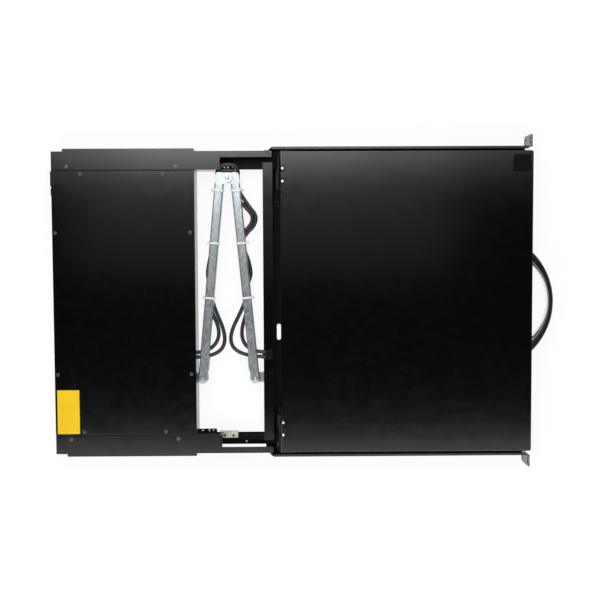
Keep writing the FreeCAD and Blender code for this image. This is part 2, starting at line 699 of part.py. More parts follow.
# ---------------------------------------------------------------- cable arm brackets
def bracket_leaf(wall, pivot, high, foot_deep):
    """Pressed angle: a level leaf with a cut corner, a turned-down edge and a foot on the wall behind."""
    away = math.copysign(1.0, pivot - wall)
    left, right = PIVOT_X - BRACKET_LOW_SIDE, PIVOT_X + BRACKET_HIGH_SIDE
    tip, corner = pivot + away * BRACKET_REACH, BRACKET_CORNER
    low = high - RAIL_SHEET
    outline = [(left, wall), (left, tip - away * corner), (left + corner, tip), (right, tip), (right, wall)]
    leaf = along_z(outline, low, high)
    y0, y1 = sorted((wall, pivot))
    flange = box(right - RAIL_SHEET, right, y0, y1, low - BRACKET_FLANGE, high)
    y0, y1 = sorted((wall, wall + away * RAIL_SHEET))
    foot = box(left, right, y0, y1, high - foot_deep, high)
    return [leaf, flange, foot]


def arm_bracket_rear():
    """Angle on the switch box's front wall, with the pivot stud riveted into it."""
    high = ARM_TOP - ARM_HEIGHT - MOVE_GAP
    stud = rod(STUD_R, V(PIVOT_X, REAR_PIVOT_Y, high), V(PIVOT_X, REAR_PIVOT_Y, ARM_TOP + MOVE_GAP))
    head = rod(RIVET_HEAD_R, V(PIVOT_X, REAR_PIVOT_Y, ARM_TOP + MOVE_GAP),
               V(PIVOT_X, REAR_PIVOT_Y, ARM_TOP + MOVE_GAP + RIVET_HEAD))
    return joined([*bracket_leaf(BOX_FRONT, REAR_PIVOT_Y, high, 12.0), stud, head])


def front_bracket_top():
    return ARM_TOP - LUG_STACK - ARM_HEIGHT - WASHER - 2 * MOVE_GAP


def arm_bracket_front():
    """Angle on the rear side of the cross beam; its short boss centres the pivot washer."""
    high = front_bracket_top()
    boss = rod(STUD_R, V(PIVOT_X, FRONT_PIVOT_Y, high), V(PIVOT_X, FRONT_PIVOT_Y, high + WASHER))
    tail = rod(RIVET_HEAD_R, V(PIVOT_X, FRONT_PIVOT_Y, high - RAIL_SHEET - RIVET_HEAD),
               V(PIVOT_X, FRONT_PIVOT_Y, high - RAIL_SHEET))
    return joined([*bracket_leaf(BEAM_REAR, FRONT_PIVOT_Y, high, 10.0), boss, tail])


def pivot_washer():
    low = front_bracket_top() + MOVE_GAP
    centre = V(PIVOT_X, FRONT_PIVOT_Y, low)
    high = ARM_TOP - LUG_STACK - ARM_HEIGHT - MOVE_GAP
    ring = rod(WASHER_R, centre, V(PIVOT_X, FRONT_PIVOT_Y, high))
    return ring.cut(rod(STUD_R + PIN_FIT, centre, V(PIVOT_X, FRONT_PIVOT_Y, high)))


# ---------------------------------------------------------------- cable arm
def place_arm(shape, front):
    """Carries a shape from the arm's own frame (pivot at zero, channel along +X, knee on the -Y side)."""
    placed = shape.copy()
    if front:
        placed = placed.mirror(V(0, 0, 0), V(0, 1, 0))
        placed.rotate(V(0, 0, 0), V(0, 0, 1), AXIS_ANGLE)
        placed.translate(V(PIVOT_X, FRONT_PIVOT_Y, -LUG_STACK))
    else:
        placed.rotate(V(0, 0, 0), V(0, 0, 1), -AXIS_ANGLE)
        placed.translate(V(PIVOT_X, REAR_PIVOT_Y, 0))
    return placed


def arm_point(along, aside, z, front):
    """A point of the arm's own frame, in the drawer's frame; z stays as given."""
    angle = math.radians(AXIS_ANGLE)
    if front:
        x, y = along, -aside
        turned = (x * math.cos(angle) - y * math.sin(angle), x * math.sin(angle) + y * math.cos(angle))
        return (PIVOT_X + turned[0], FRONT_PIVOT_Y + turned[1], z)
    turned = (along * math.cos(angle) + aside * math.sin(angle),
              -along * math.sin(angle) + aside * math.cos(angle))
    return (PIVOT_X + turned[0], REAR_PIVOT_Y + turned[1], z)


def arm_blank():
    """Pressed channel, open below, with a closed eye at the pivot and a cranked lug at the knee."""
    half = ARM_WIDTH / 2
    low = ARM_TOP - ARM_HEIGHT
    web_end = ARM_AXIS_LENGTH - LUG_BACK
    web = box(0, web_end, -half, half, ARM_TOP - SHEET, ARM_TOP)
    sides = [box(0, web_end - 2, side, side + SHEET, low, ARM_TOP) for side in (-half, half - SHEET)]
    eye_top = rod(half, V(0, 0, ARM_TOP - SHEET), V(0, 0, ARM_TOP))
    eye_low = rod(half, V(0, 0, low), V(0, 0, low + SHEET))
    eye_floor = box(0, 12, -half, half, low, low + SHEET)
    lug = along_z([
        (web_end - 4, half), (ARM_AXIS_LENGTH + LUG_R - 5, half), (ARM_AXIS_LENGTH + LUG_R, half - 5),
        (ARM_AXIS_LENGTH + LUG_R, -ARM_OFFSET), (web_end, -ARM_OFFSET), (web_end, -half),
        (web_end - 4, -half),
    ], ARM_TOP - SHEET, ARM_TOP)
    lug_end = rod(LUG_R, V(ARM_AXIS_LENGTH, -ARM_OFFSET, ARM_TOP - SHEET),
                  V(ARM_AXIS_LENGTH, -ARM_OFFSET, ARM_TOP))
    return joined([web, *sides, eye_top, eye_low, eye_floor, lug, lug_end])


def knee_hole(radius):
    return rod(radius, V(ARM_AXIS_LENGTH, -ARM_OFFSET, 0), V(ARM_AXIS_LENGTH, -ARM_OFFSET, ARM_TOP + 5))


def arm_rear():
    holes = [rod(STUD_R + PIN_FIT, V(0, 0, 0), V(0, 0, ARM_TOP + 5)), knee_hole(STUD_R)]
    return place_arm(arm_blank().cut(holes), front=False)


def arm_front():
    arm = arm_blank().cut(knee_hole(STUD_R + PIN_FIT))
    head = rod(RIVET_HEAD_R, V(0, 0, ARM_TOP), V(0, 0, ARM_TOP + RIVET_HEAD))
    return place_arm(joined([arm, head]), front=True)


def knee_rivet():
    top = ARM_TOP
    low = ARM_TOP - LUG_STACK - SHEET - MOVE_GAP
    shank = rod(STUD_R, V(KNEE_X, KNEE_Y, low), V(KNEE_X, KNEE_Y, top))
    head = rod(RIVET_HEAD_R, V(KNEE_X, KNEE_Y, top), V(KNEE_X, KNEE_Y, top + RIVET_HEAD))
    tail = rod(RIVET_HEAD_R, V(KNEE_X, KNEE_Y, low - RIVET_HEAD), V(KNEE_X, KNEE_Y, low))
    return joined([shank, head, tail])


def zip_tie(along, hangs):
    """A nylon tie round the channel and its cables, with the head on the outer side."""
    half = ARM_WIDTH / 2
    low = CABLE_LOW - CABLE_D / 2 - MOVE_GAP if hangs else ARM_TOP - ARM_HEIGHT
    x0, x1 = along - TIE_BAND / 2, along + TIE_BAND / 2
    outer = box(x0, x1, -half - TIE_THICK, half + TIE_THICK, low - TIE_THICK,
                ARM_TOP + TIE_THICK)
    outer = round_edges(outer, 1.0, lambda e: runs_along(e, V(1, 0, 0)))
    band = outer.cut(box(x0 - 1, x1 + 1, -half, half, low, ARM_TOP))
    head = box(x0 - 0.4, x1 + 0.4, half + TIE_THICK - 0.2, half + TIE_THICK + 3.0, ARM_TOP - 7,
               ARM_TOP - 1.6)
    return joined([band, head])


def arm_ties(front):
    """Two ties hold cable below the channel; the one by the knee does so on the front arm only."""
    ties = [zip_tie(place, hangs) for place, hangs in zip(TIE_PLACES, (True, True, front))]
    return place_arm(Part.makeCompound(ties), front)


# ---------------------------------------------------------------- drawer
def drawer_side():
    """A long C rail: the tray's side wall in front, the arm that runs into the bracket behind."""
    return channel(DRAWER_OUT, FLANGE_IN, DRAWER_BOTTOM, DRAWER_TOP, SHEET, FRONT_Y + RAIL_SHEET,
                   DRAWER_REAR)


def tray_floor():
    half = DRAWER_IN - 0.1
    low = DRAWER_BOTTOM + SHEET
    floor = box(-half, half, FRONT_Y + RAIL_SHEET, TRAY_REAR, low, low + SHEET)
    lip = box(-FLANGE_IN, FLANGE_IN, TRAY_REAR - SHEET, TRAY_REAR, low, low + 5)
    slot_x, slot_y, slot_l, slot_w = -45.0, TRAY_REAR - 8.0, 24.0, 6.0
    reach = (slot_l - slot_w) / 2
    slot = joined([
        box(slot_x - reach, slot_x + reach, slot_y - slot_w / 2, slot_y + slot_w / 2, low - 5, low + 5),
        rod(slot_w / 2, V(slot_x - reach, slot_y, low - 5), V(slot_x - reach, slot_y, low + 5)),
        rod(slot_w / 2, V(slot_x + reach, slot_y, low - 5), V(slot_x + reach, slot_y, low + 5)),
    ])
    return joined([floor, lip]).cut(slot)


def tray_front():
    """The drawer's face plate, as wide as the lid above it."""
    plate = box(-LID_OUT, LID_OUT, FRONT_Y, FRONT_Y + RAIL_SHEET, DRAWER_BOTTOM, LID_FACE - 1.2)
    return round_edges(plate, 3.0, lambda e: runs_along(e, V(0, 1, 0)) and e.CenterOfMass.z < 0)


def cross_beam():
    """Folded beam that ties the drawer arms together; the strain relief sits in its notch."""
    half = FLANGE_IN - MOVE_GAP
    end = DRAWER_OUT - BEAM_END_GAP
    rear = BEAM_REAR
    top = box(-end, end, TRAY_REAR, rear, DRAWER_TOP, BEAM_TOP)
    front = box(-half, half, TRAY_REAR, TRAY_REAR + SHEET, BEAM_TOP - BEAM_DROP, BEAM_TOP)
    back = box(-half, half, rear - SHEET, rear, BEAM_TOP - BEAM_DROP, BEAM_TOP)
    x0, x1 = relief_span()
    notch = box(x0 + RELIEF_EDGE, x1 - RELIEF_EDGE, rear - RELIEF_NOTCH, rear + 1, RELIEF_LOW, BEAM_TOP + 1)
    return joined([top, front, back]).cut(notch)


def relief_span():
    return LEADS[0] - CABLE_D / 2 - RELIEF_WALL, LEADS[1] + CABLE_D / 2 + RELIEF_WALL


def key_rows():
    """Key widths in key pitches, from the front row to the rear row; the number pad follows each."""
    space_row = [1.25, 1.25, 1.25, 6.25, 1, 1, 1, 1, 1]
    shift_row = [2.25] + [1] * 10 + [1.75, 1]
    home_row = [1.75] + [1] * 11 + [2.25]
    tab_row = [1.5] + [1] * 12 + [1.5]
    number_row = [1] * 13 + [2]
    function_row = [15 / 16] * 16
    pad = [1, 1, 1, 1]
    return [(space_row, [2, 1, 1]), (shift_row, pad), (home_row, pad), (tab_row, pad), (number_row, pad),
            (function_row, pad)]


def keyboard_width():
    return (15 + PAD_GAP + 4) * KEY_PITCH


def row_depth(index):
    return FUNCTION_ROW if index == 5 else KEY_PITCH


def row_front(index):
    return KEYS_FRONT + index * KEY_PITCH + (ROW_GAP if index == 5 else 0)


def key_spans(index):
    """The (x0, x1) of every key in a row, a half gap in from its place in the grid."""
    main, pad = key_rows()[index]
    left = -keyboard_width() / 2
    spans = []
    for start, widths in ((left, main), (left + (15 + PAD_GAP) * KEY_PITCH, pad)):
        x = start
        for width in widths:
            spans.append((x + KEY_GAP / 2, x + width * KEY_PITCH - KEY_GAP / 2))
            x += width * KEY_PITCH
    return spans


def row_span(index):
    y0 = row_front(index)
    return y0 + KEY_GAP / 2, y0 + row_depth(index) - KEY_GAP / 2


def key_stem(x0, x1, y0, y1, grow):
    """The guide post under the middle of a key, or the hole for it when grown."""
    x, y, half = (x0 + x1) / 2, (y0 + y1) / 2, STEM / 2 + grow
    return box(x - half, x + half, y - half, y + half, STEM_END, KEY_FOOT)


def key_row(index):
    y0, y1 = row_span(index)
    return [joined([keycap(x0, x1, y0, y1), key_stem(x0, x1, y0, y1, 0)]) for x0, x1 in key_spans(index)]


def keycap(x0, x1, y0, y1):
    """A keycap: a frustum whose top is smaller than its foot."""
    outlines = []
    for inset, z in ((0, KEY_FOOT), (KEY_TAPER, KEY_TOP)):
        left, right, front, rear = x0 + inset, x1 - inset, y0 + inset, y1 - inset
        outlines.append(Part.makePolygon([V(left, front, z), V(right, front, z), V(right, rear, z),
                                          V(left, rear, z), V(left, front, z)]))
    return Part.makeLoft(outlines, True, True)


def keyboard_deck():
    """The moulded insert round the keys and the touchpad, a shell standing on the tray floor."""
    half = DRAWER_IN - 0.4
    front = FRONT_Y + RAIL_SHEET + 0.2
    floor = TRAY_LEVEL
    wall = DECK_WALL
    outer = box(-half, half, front, DECK_REAR, floor, DECK_TOP)
    inner = box(-half + wall, half - wall, front + wall, DECK_REAR - wall, floor, DECK_TOP - wall)
    wells = []
    keys_half = keyboard_width() / 2 + WELL_MARGIN
    main_rear = row_front(4) + KEY_PITCH + WELL_MARGIN - 0.8
    wells.append(box(-keys_half, keys_half, KEYS_FRONT - WELL_MARGIN, main_rear, floor, DECK_TOP + 9))
    wells.append(box(-keys_half, keys_half, row_front(5) - WELL_MARGIN + 0.5,
                     row_front(5) + FUNCTION_ROW + WELL_MARGIN, floor, DECK_TOP + 9))
    wells.append(box(-TOUCH_W / 2, TOUCH_W / 2, TOUCH_FRONT, TOUCH_FRONT + TOUCH_D, floor,
                     DECK_TOP + 9))
    for x0, x1 in button_spans():
        wells.append(box(x0 - MOVE_GAP, x1 + MOVE_GAP, button_front() - MOVE_GAP,
                         button_front() + BUTTON_D + MOVE_GAP, floor, DECK_TOP + 9))
    shell = outer.cut(inner)
    shell = round_edges(shell, 1.0, lambda e: abs(e.CenterOfMass.z - DECK_TOP) < 0.01
                        and (runs_along(e, V(1, 0, 0)) or runs_along(e, V(0, 1, 0))))
    return shell.cut(wells)


def button_front():
    return TOUCH_FRONT - BUTTON_D - 3.0


def button_spans():
    half = TOUCH_W / 2
    return [(-half, -BUTTON_GAP), (BUTTON_GAP, half)]


def touchpad():
    floor = TRAY_LEVEL
    pad = box(-TOUCH_W / 2 + 0.15, TOUCH_W / 2 - 0.15, TOUCH_FRONT + 0.15, TOUCH_FRONT + TOUCH_D - 0.15,
              DECK_TOP - 1.8, DECK_TOP - 0.6)
    stem = box(-12, 12, TOUCH_FRONT + 12, TOUCH_FRONT + TOUCH_D - 12, floor, DECK_TOP - 1.8)
    return joined([pad, stem])


def touchpad_button(span):
    x0, x1 = span
    cap = box(x0, x1, button_front(), button_front() + BUTTON_D, DECK_TOP - 3.0, DECK_TOP + 0.6)
    return round_edges(cap, 0.5, lambda e: abs(e.CenterOfMass.z - DECK_TOP - 0.6) < 0.01)


def key_base():
    """The plate that guides the key stems, and the shelf under the touchpad's buttons."""
    floor = TRAY_LEVEL
    high = KEY_FOOT - KEY_TRAVEL - MOVE_GAP
    half = keyboard_width() / 2 + 8.0
    y0, y1 = KEYS_FRONT - 6, row_front(5) + FUNCTION_ROW + 6
    plate = box(-half, half, y0, y1, high - 1.6, high)
    legs = [box(x - 3, x + 3, y - 3, y + 3, floor, high - 1.6)
            for x in (-half + 3, half - 3) for y in (y0 + 3, y1 - 3)]
    holes = [key_stem(x0, x1, *row_span(index), 2 * PIN_FIT)
             for index in range(6) for x0, x1 in key_spans(index)]
    shelf_top = DECK_TOP - 3.0 - BUTTON_TRAVEL - MOVE_GAP
    shelf = box(-TOUCH_W / 2, TOUCH_W / 2, button_front(), button_front() + BUTTON_D, floor, shelf_top)
    return Part.makeCompound([joined([plate, *legs]).cut(holes), shelf])


def hinge_bracket():
    """Upright eye on the tray floor, with the hinge pin fixed in it."""
    floor = TRAY_LEVEL
    x0, x1 = POCKET_X + 1.5, TAB_INNER_X - 0.8
    foot = box(x0 - 12, x1, HINGE_Y - 16, TRAY_REAR - SHEET - 0.3, floor, floor + 2)
    neck = box(x0, x1, HINGE_Y - 6, HINGE_Y + 5.5, floor, HINGE_Z)
    eye = rod(BARREL_R - 0.2, V(x0, HINGE_Y, HINGE_Z), V(x1, HINGE_Y, HINGE_Z))
    pin = rod(PIN_R, V(x0, HINGE_Y, HINGE_Z), V(LEAF_OUTER_X - 2, HINGE_Y, HINGE_Z))
    return joined([foot, neck, eye, pin])


def hinge_brackets():
    right = hinge_bracket()
    return Part.makeCompound([right, mirrored(right)])


def rail_clip():
    """A small zinc angle on the left drawer arm, with two screw holes."""
    x0, x1 = -FLANGE_IN - 4.5, -FLANGE_IN + 4.5
    y0, y1 = DRAWER_REAR - 53.5, DRAWER_REAR - 26.0
    leaf = box(x0, x1, y0, y1, DRAWER_TOP, DRAWER_TOP + RAIL_SHEET)
    leg = box(x1 - RAIL_SHEET, x1, y0, y1, DRAWER_TOP - 8, DRAWER_TOP + RAIL_SHEET)
    holes = [rod(1.8, V(x0 + 3.2, y, DRAWER_TOP - 1), V(x0 + 3.2, y, DRAWER_TOP + 5))
             for y in (y0 + 7.0, y1 - 8.0)]
    return joined([leaf, leg]).cut(holes)


def strain_relief():
    """Moulded grommet in the beam's notch that grips the tray's two cables."""
    x0, x1 = relief_span()
    rear = BEAM_REAR
    hump = box(x0, x1, TRAY_REAR + 1.2, rear - 3.0, BEAM_TOP, BEAM_TOP + 3.4)
    hump = round_edges(hump, 2.5, lambda e: runs_along(e, V(0, 0, 1)))
    nose = box(x0 + RELIEF_EDGE, x1 - RELIEF_EDGE, rear - RELIEF_NOTCH, rear + 2.0, RELIEF_LOW, BEAM_TOP)
    z = CABLE_LOW - LUG_STACK
    bores = [rod(CABLE_D / 2, V(x, rear - RELIEF_NOTCH, z), V(x, rear + 9, z)) for x in LEADS]
    return joined([hump, nose]).cut(bores)


# ---------------------------------------------------------------- display lid
def lid_tab(x0, x1):
    """The hollow rear corner that wraps round a hinge barrel, open towards the lid's inside."""
    low = HINGE_Z - TAB_R
    wrap = rod(TAB_R, V(x0, HINGE_Y, HINGE_Z), V(x1, HINGE_Y, HINGE_Z))
    form = joined([wrap, box(x0, x1, POCKET_FRONT, HINGE_Y, low, LID_TOP)])
    bore = rod(TAB_R - SHEET, V(x0 + SHEET, HINGE_Y, HINGE_Z), V(x1 - SHEET, HINGE_Y, HINGE_Z))
    room = box(x0 + SHEET, x1 - SHEET, POCKET_FRONT - 1, HINGE_Y, low + SHEET, LID_TOP - SHEET)
    inner = min((x0, x1), key=abs)
    pin_hole = rod(PIN_R + 2 * MOVE_GAP, V(inner - 2, HINGE_Y, HINGE_Z), V(inner + 2, HINGE_Y, HINGE_Z))
    return form.cut([bore, room, pin_hole])


def lid_pan():
    """The pressed pan, rounded along its front and side edges."""
    pan = box(-LID_OUT, LID_OUT, FRONT_Y, LID_CENTRE_REAR, LID_FACE, LID_TOP)
    pan = round_edges(pan, 3.0, lambda e: runs_along(e, V(0, 0, 1)) and e.CenterOfMass.y < 0)
    pan = round_edges(pan, SHEET, lambda e: abs(e.CenterOfMass.z - LID_TOP) < 0.01
                      and e.CenterOfMass.y < LID_CENTRE_REAR - 1)
    inside = box(-LID_OUT + SHEET, LID_OUT - SHEET, FRONT_Y + SHEET, LID_CENTRE_REAR - SHEET,
                 LID_FACE - 1, LID_TOP - SHEET)
    inside = round_edges(inside, 3.0 - SHEET, lambda e: runs_along(e, V(0, 0, 1)) and e.CenterOfMass.y < 0)
    return pan.cut(inside)


def lid_cover():
    """Back cover of the display; the hinge eyes pass through pockets between its body and its tabs."""
    shell = lid_pan()
    cuts = []
    tabs = []
    for inner, outer, pocket in ((TAB_INNER_X, LID_OUT, POCKET_X), (-TAB_INNER_X, -LID_OUT, -POCKET_X)):
        side = math.copysign(1, inner)
        x0, x1 = sorted((pocket, outer + side))
        cuts.append(box(x0, x1, POCKET_FRONT, LID_CENTRE_REAR + 1, LID_FACE - 1, LID_TOP - SHEET))
        x0, x1 = sorted((inner, outer + side))
        cuts.append(box(x0, x1, POCKET_FRONT, LID_CENTRE_REAR + 1, LID_FACE - 1, LID_TOP + 1))
        tabs.append(lid_tab(*sorted((inner, outer))))
    return joined([shell.cut(cuts), *tabs]).cut(lid_screw_shapes())


def screen_opening(grow, z0, z1):
    return box(-SCREEN_W / 2 - grow, SCREEN_W / 2 + grow, SCREEN_FRONT - grow,
               SCREEN_FRONT + SCREEN_D + grow, z0, z1)


def osd_places():
    first = -(OSD_COUNT - 1) / 2 * OSD_PITCH
    return [first + i * OSD_PITCH for i in range(OSD_COUNT)]


def lid_bezel():
    """The frame round the screen, which closes the lid's open side."""
    half = LID_OUT - SHEET - 0.1
    low, high = LID_FACE, LID_FACE + BEZEL_SHEET
    frame = box(-half, half, FRONT_Y + SHEET + 0.1, LID_CENTRE_REAR - SHEET - 0.1, low, high)
    cuts = [screen_opening(0, low - 1, high + 1)]
    cuts += [box(x0, x1, POCKET_FRONT - 0.2, LID_CENTRE_REAR + 1, low - 1, high + 1)
             for x0, x1 in ((POCKET_X, LID_OUT), (-LID_OUT, -POCKET_X))]
    cuts += [rod(OSD_R + MOVE_GAP, V(x, OSD_Y, low - 1), V(x, OSD_Y, high + 1)) for x in osd_places()]
    return frame.cut(cuts)


def lcd_panel():
    low = LID_FACE + BEZEL_SHEET
    body = screen_opening(PANEL_MARGIN, low, low + PANEL_THICK)
    return body


def lcd_board():
    """Display driver board under the cover, on four spacers."""
    top = LID_TOP - SHEET
    board = box(-70, 70, 120, 215, top - 1.2 - BOARD, top - 1.2)
    spacers = [box(x - 3, x + 3, y - 3, y + 3, top - 1.2, top) for x in (-64, 64) for y in (126, 209)]
    return joined([board, *spacers])


def osd_buttons():
    low = LID_FACE - 0.5
    high = LID_FACE + BEZEL_SHEET + 1.0
    caps = []
    for x in osd_places():
        cap = rod(OSD_R, V(x, OSD_Y, low), V(x, OSD_Y, high))
        collar = rod(OSD_R + 1.0, V(x, OSD_Y, high), V(x, OSD_Y, high + 0.8))
        caps.append(joined([cap, collar]))
    return Part.makeCompound(caps)


def osd_board():
    """The button board behind the bezel, on a rib."""
    low = LID_FACE + BEZEL_SHEET + 4.0
    x0, x1 = osd_places()[0] - 8, osd_places()[-1] + 8
    board = box(x0, x1, OSD_Y - 6, OSD_Y + 8, low, low + BOARD)
    rib = box(x0, x1, OSD_Y + 6, OSD_Y + 8, LID_FACE + BEZEL_SHEET, low)
    return joined([board, rib])


def hinge_leaf():
    """Friction barrel with its screw block and leaf, fixed under the cover."""
    top = LID_TOP - SHEET
    x0, x1 = LEAF_INNER_X, LEAF_OUTER_X
    barrel = rod(BARREL_R, V(x0, HINGE_Y, HINGE_Z), V(x1, HINGE_Y, HINGE_Z))
    block = box(x0, x1, HINGE_Y - 5, HINGE_Y + 1.5, HINGE_Z, top)
    leaf = box(x0, x1, LEAF_FRONT, HINGE_Y, top - RAIL_SHEET, top)
    bore = rod(PIN_R + PIN_FIT, V(x0, HINGE_Y, HINGE_Z), V(x1, HINGE_Y, HINGE_Z))
    return joined([barrel, block, leaf]).cut([bore, *lid_screw_shapes()])


def hinge_leaves():
    right = hinge_leaf()
    return Part.makeCompound([right, mirrored(right)])


def bow(chord, reach, y):
    """The circle through the two ends of a chord at depth y and a point reach in front of it."""
    radius = (chord ** 2 / 4 + reach ** 2) / (2 * reach)
    return radius, y - reach + radius


def half_disc(chord, reach, low, high):
    radius, centre = bow(chord, reach, FRONT_Y)
    disc = rod(radius, V(0, centre, low), V(0, centre, high))
    return disc.common(box(-chord, chord, FRONT_Y - reach - 1, FRONT_Y, low, high))


def upper_handle():
    outer = half_disc(HANDLE_CHORD, HANDLE_REACH, HANDLE_LOW, HANDLE_HIGH)
    inner = half_disc(HANDLE_INNER_CHORD, HANDLE_INNER_REACH, HANDLE_LOW - 1, HANDLE_HIGH + 1)
    handle = outer.cut(inner)
    return handle.makeChamfer(1.6, [e for e in handle.Edges if e.Length > HANDLE_INNER_CHORD / 2])


def lower_handle():
    outer = half_disc(STRAP_CHORD, STRAP_REACH, STRAP_LOW, STRAP_HIGH)
    inner = half_disc(STRAP_CHORD - 2.4 * STRAP_THICK, STRAP_REACH - STRAP_THICK, STRAP_LOW - 1,
                      STRAP_HIGH + 1)
    return outer.cut(inner)


def lid_screw_shapes():
    places = [(side * x, HINGE_Y - 0.8)
              for side in (-1, 1) for x in (LEAF_INNER_X + 8.8, LEAF_INNER_X + 27.0)]
    return [countersunk(x, y, LID_TOP, 3.2, 4.0) for x, y in places]


# ---------------------------------------------------------------- cable runs
def cable_low(front):
    """The height of a cable that hangs below its arm's channel."""
    return CABLE_LOW - (LUG_STACK if front else 0)


def inner_run(front):
    """Rises from below the channel into it, past the first tie."""
    low = cable_low(front)
    return [arm_point(along, -CABLE_SPREAD, z, front)
            for along, z in ((JOIN_REACH, low), (JOIN_REACH + 15, low), (RISE_END, CABLE_HIGH),
                             (KNEE_JOIN, CABLE_HIGH))]


def outer_run(front):
    """Hangs with slack between two ties; the front one then bows out wide, the rear one rises."""
    low = cable_low(front)
    slack = FRONT_SLACK if front else REAR_SLACK
    run = [arm_point(JOIN_REACH, CABLE_SPREAD, low, front)]
    run += [arm_point(along, aside, low, front) for along, aside in slack]
    if front:
        return run + [arm_point(KNEE_JOIN, KNEE_SIDE, low, front)]
    return run + [arm_point(RISE_AGAIN, CABLE_SPREAD, CABLE_HIGH, front),
                  arm_point(KNEE_JOIN, CABLE_SPREAD, CABLE_HIGH, front)]


def arm_cables(front):
    label = "arm_front" if front else "arm_rear"
    runs = {"outer": outer_run(front), "inner": inner_run(front)}
    return Part.makeCompound([cable(f"{label} {name}", run) for name, run in runs.items()])


def straight_end(aside, z, front):
    """The last two points of a loop, in line with the cable that it meets in the arm."""
    return [arm_point(JOIN_REACH - END_RUN, aside, z, front), arm_point(JOIN_REACH, aside, z, front)]


def switch_loops():
    """From the switch box, under the rear arm, round in a loop and into the channel from below."""
    z = CABLE_LOW
    outer_x, inner_x = LEADS
    start = BOX_FRONT + 6
    outer = [(outer_x, start, z), (outer_x, REAR_PIVOT_Y - 17.7, z),
             (outer_x + 25.2, REAR_PIVOT_Y - 36.9, z),
             arm_point(112, -3.4, z, False), *straight_end(-CABLE_SPREAD, z, False)]
    inner = [(inner_x, start, z), (inner_x, REAR_PIVOT_Y - 9.2, z),
             (inner_x + 27.2, REAR_PIVOT_Y - 27.7, z),
             arm_point(106, 0.5, z, False), *straight_end(CABLE_SPREAD, z, False)]
    return Part.makeCompound([cable("switch outer", outer), cable("switch inner", inner)])


def tray_loops():
    """From the strain relief, under the front arm, round in a loop and into the channel from below."""
    z = CABLE_LOW - LUG_STACK
    outer_x, inner_x = LEADS
    start = BEAM_REAR - RELIEF_NOTCH + 0.5
    outer = [(outer_x, start, z), (outer_x, FRONT_PIVOT_Y + 18.6, z),
             (outer_x + 24.6, FRONT_PIVOT_Y + 42.1, z),
             arm_point(112, -3.4, z, True), *straight_end(-CABLE_SPREAD, z, True)]
    inner = [(inner_x, start, z), (inner_x, FRONT_PIVOT_Y + 7.6, z),
             (inner_x + 25.0, FRONT_PIVOT_Y + 23.1, z),
             arm_point(106, 0.5, z, True), *straight_end(CABLE_SPREAD, z, True)]
    return Part.makeCompound([cable("tray outer", outer), cable("tray inner", inner)])


def knee_end(aside, exit_z, front):
    """A loop's last points inside a channel, from its exit to where it meets the arm's cable."""
    places = ((KNEE_EXIT, exit_z), (KNEE_JOIN + END_RUN, CABLE_HIGH), (KNEE_JOIN, CABLE_HIGH))
    return [arm_point(along, aside, z, front) for along, z in places]


def knee_slack_end():
    """The outer cable's last points on the front arm, below the channel and through the knee's tie."""
    low = cable_low(True)
    slope = (KNEE_SIDE - FRONT_SLACK[-1][1]) / (KNEE_JOIN - FRONT_SLACK[-1][0])
    places = ((287.0, 2.8), (273.5, 3.9), (KNEE_JOIN + END_RUN, KNEE_SIDE + slope * END_RUN),
              (KNEE_JOIN, KNEE_SIDE))
    return [arm_point(along, aside, low, True) for along, aside in places]


def knee_loops():
    """Round the knee from one channel to the other; the pair rolls one above the other in the bend."""
    bend_x = KNEE_X + KNEE_BEND
    outer = [*reversed(knee_end(CABLE_SPREAD, 6.2, False)), (bend_x, KNEE_Y + 15.85, 5.2),
             (bend_x, KNEE_Y - 15.85, 5.2), *knee_slack_end()]
    inner = [*reversed(knee_end(-CABLE_SPREAD, 9.0, False)), (bend_x, KNEE_Y + 16.25, 10.0),
             (bend_x, KNEE_Y - 16.25, 10.0), *knee_end(-CABLE_SPREAD, 9.0, True)]
    return Part.makeCompound([cable("knee outer", outer), cable("knee inner", inner)])


# ---------------------------------------------------------------- the assembly
def pair(right):
    return Part.makeCompound([right, mirrored(right)])


def save_frame():
    save_pair("side_rail", side_rail())
    save("rear_bracket_right", rear_bracket(with_ledge=True))
    save("rear_bracket_left", mirrored(rear_bracket(with_ledge=False)))
    save("slides_outer", pair(slide_outer()))
    save("slides_middle", pair(slide_middle()))


def save_switch_box():
    save("switch_base", switch_base())
    save("switch_cover", switch_cover())
    save("switch_front_wall", switch_front_wall())
    save("switch_rear_panel", switch_rear_panel())
    save("switch_electronics", Part.makeCompound([switch_board(), power_supply()]))
    save("ac_inlet", ac_inlet())
    save("ac_rocker", ac_rocker())
    save("port_jacks", Part.makeCompound([port_jacks(), usb_jacks()]))
    save("console_ports", console_ports())
    save("box_screws", box_screws())


def save_cable_arm():
    save("arm_bracket_rear", arm_bracket_rear())
    save("arm_bracket_front", arm_bracket_front())
    save("pivot_washer", pivot_washer())
    save("arm_rear", arm_rear())
    save("arm_front", arm_front())
    save("knee_rivet", knee_rivet())
    save("arm_rear_ties", arm_ties(front=False))
    save("arm_front_ties", arm_ties(front=True))
    save("cable_arm_rear", arm_cables(front=False))
    save("cable_arm_front", arm_cables(front=True))
    save("cable_switch_loop", switch_loops())
    save("cable_knee_loop", knee_loops())
    save("cable_tray_loop", tray_loops())


def save_drawer():
    save("slides_inner", pair(slide_inner()))
    save_pair("release_lever", release_lever())
    save_pair("drawer_side", drawer_side())
    save("tray_floor", tray_floor())
    save("tray_front", tray_front())
    save("cross_beam", cross_beam())
    save("strain_relief", strain_relief())
    save("rail_clip", rail_clip())
    save("lower_handle", lower_handle())
    save("hinge_brackets", hinge_brackets())


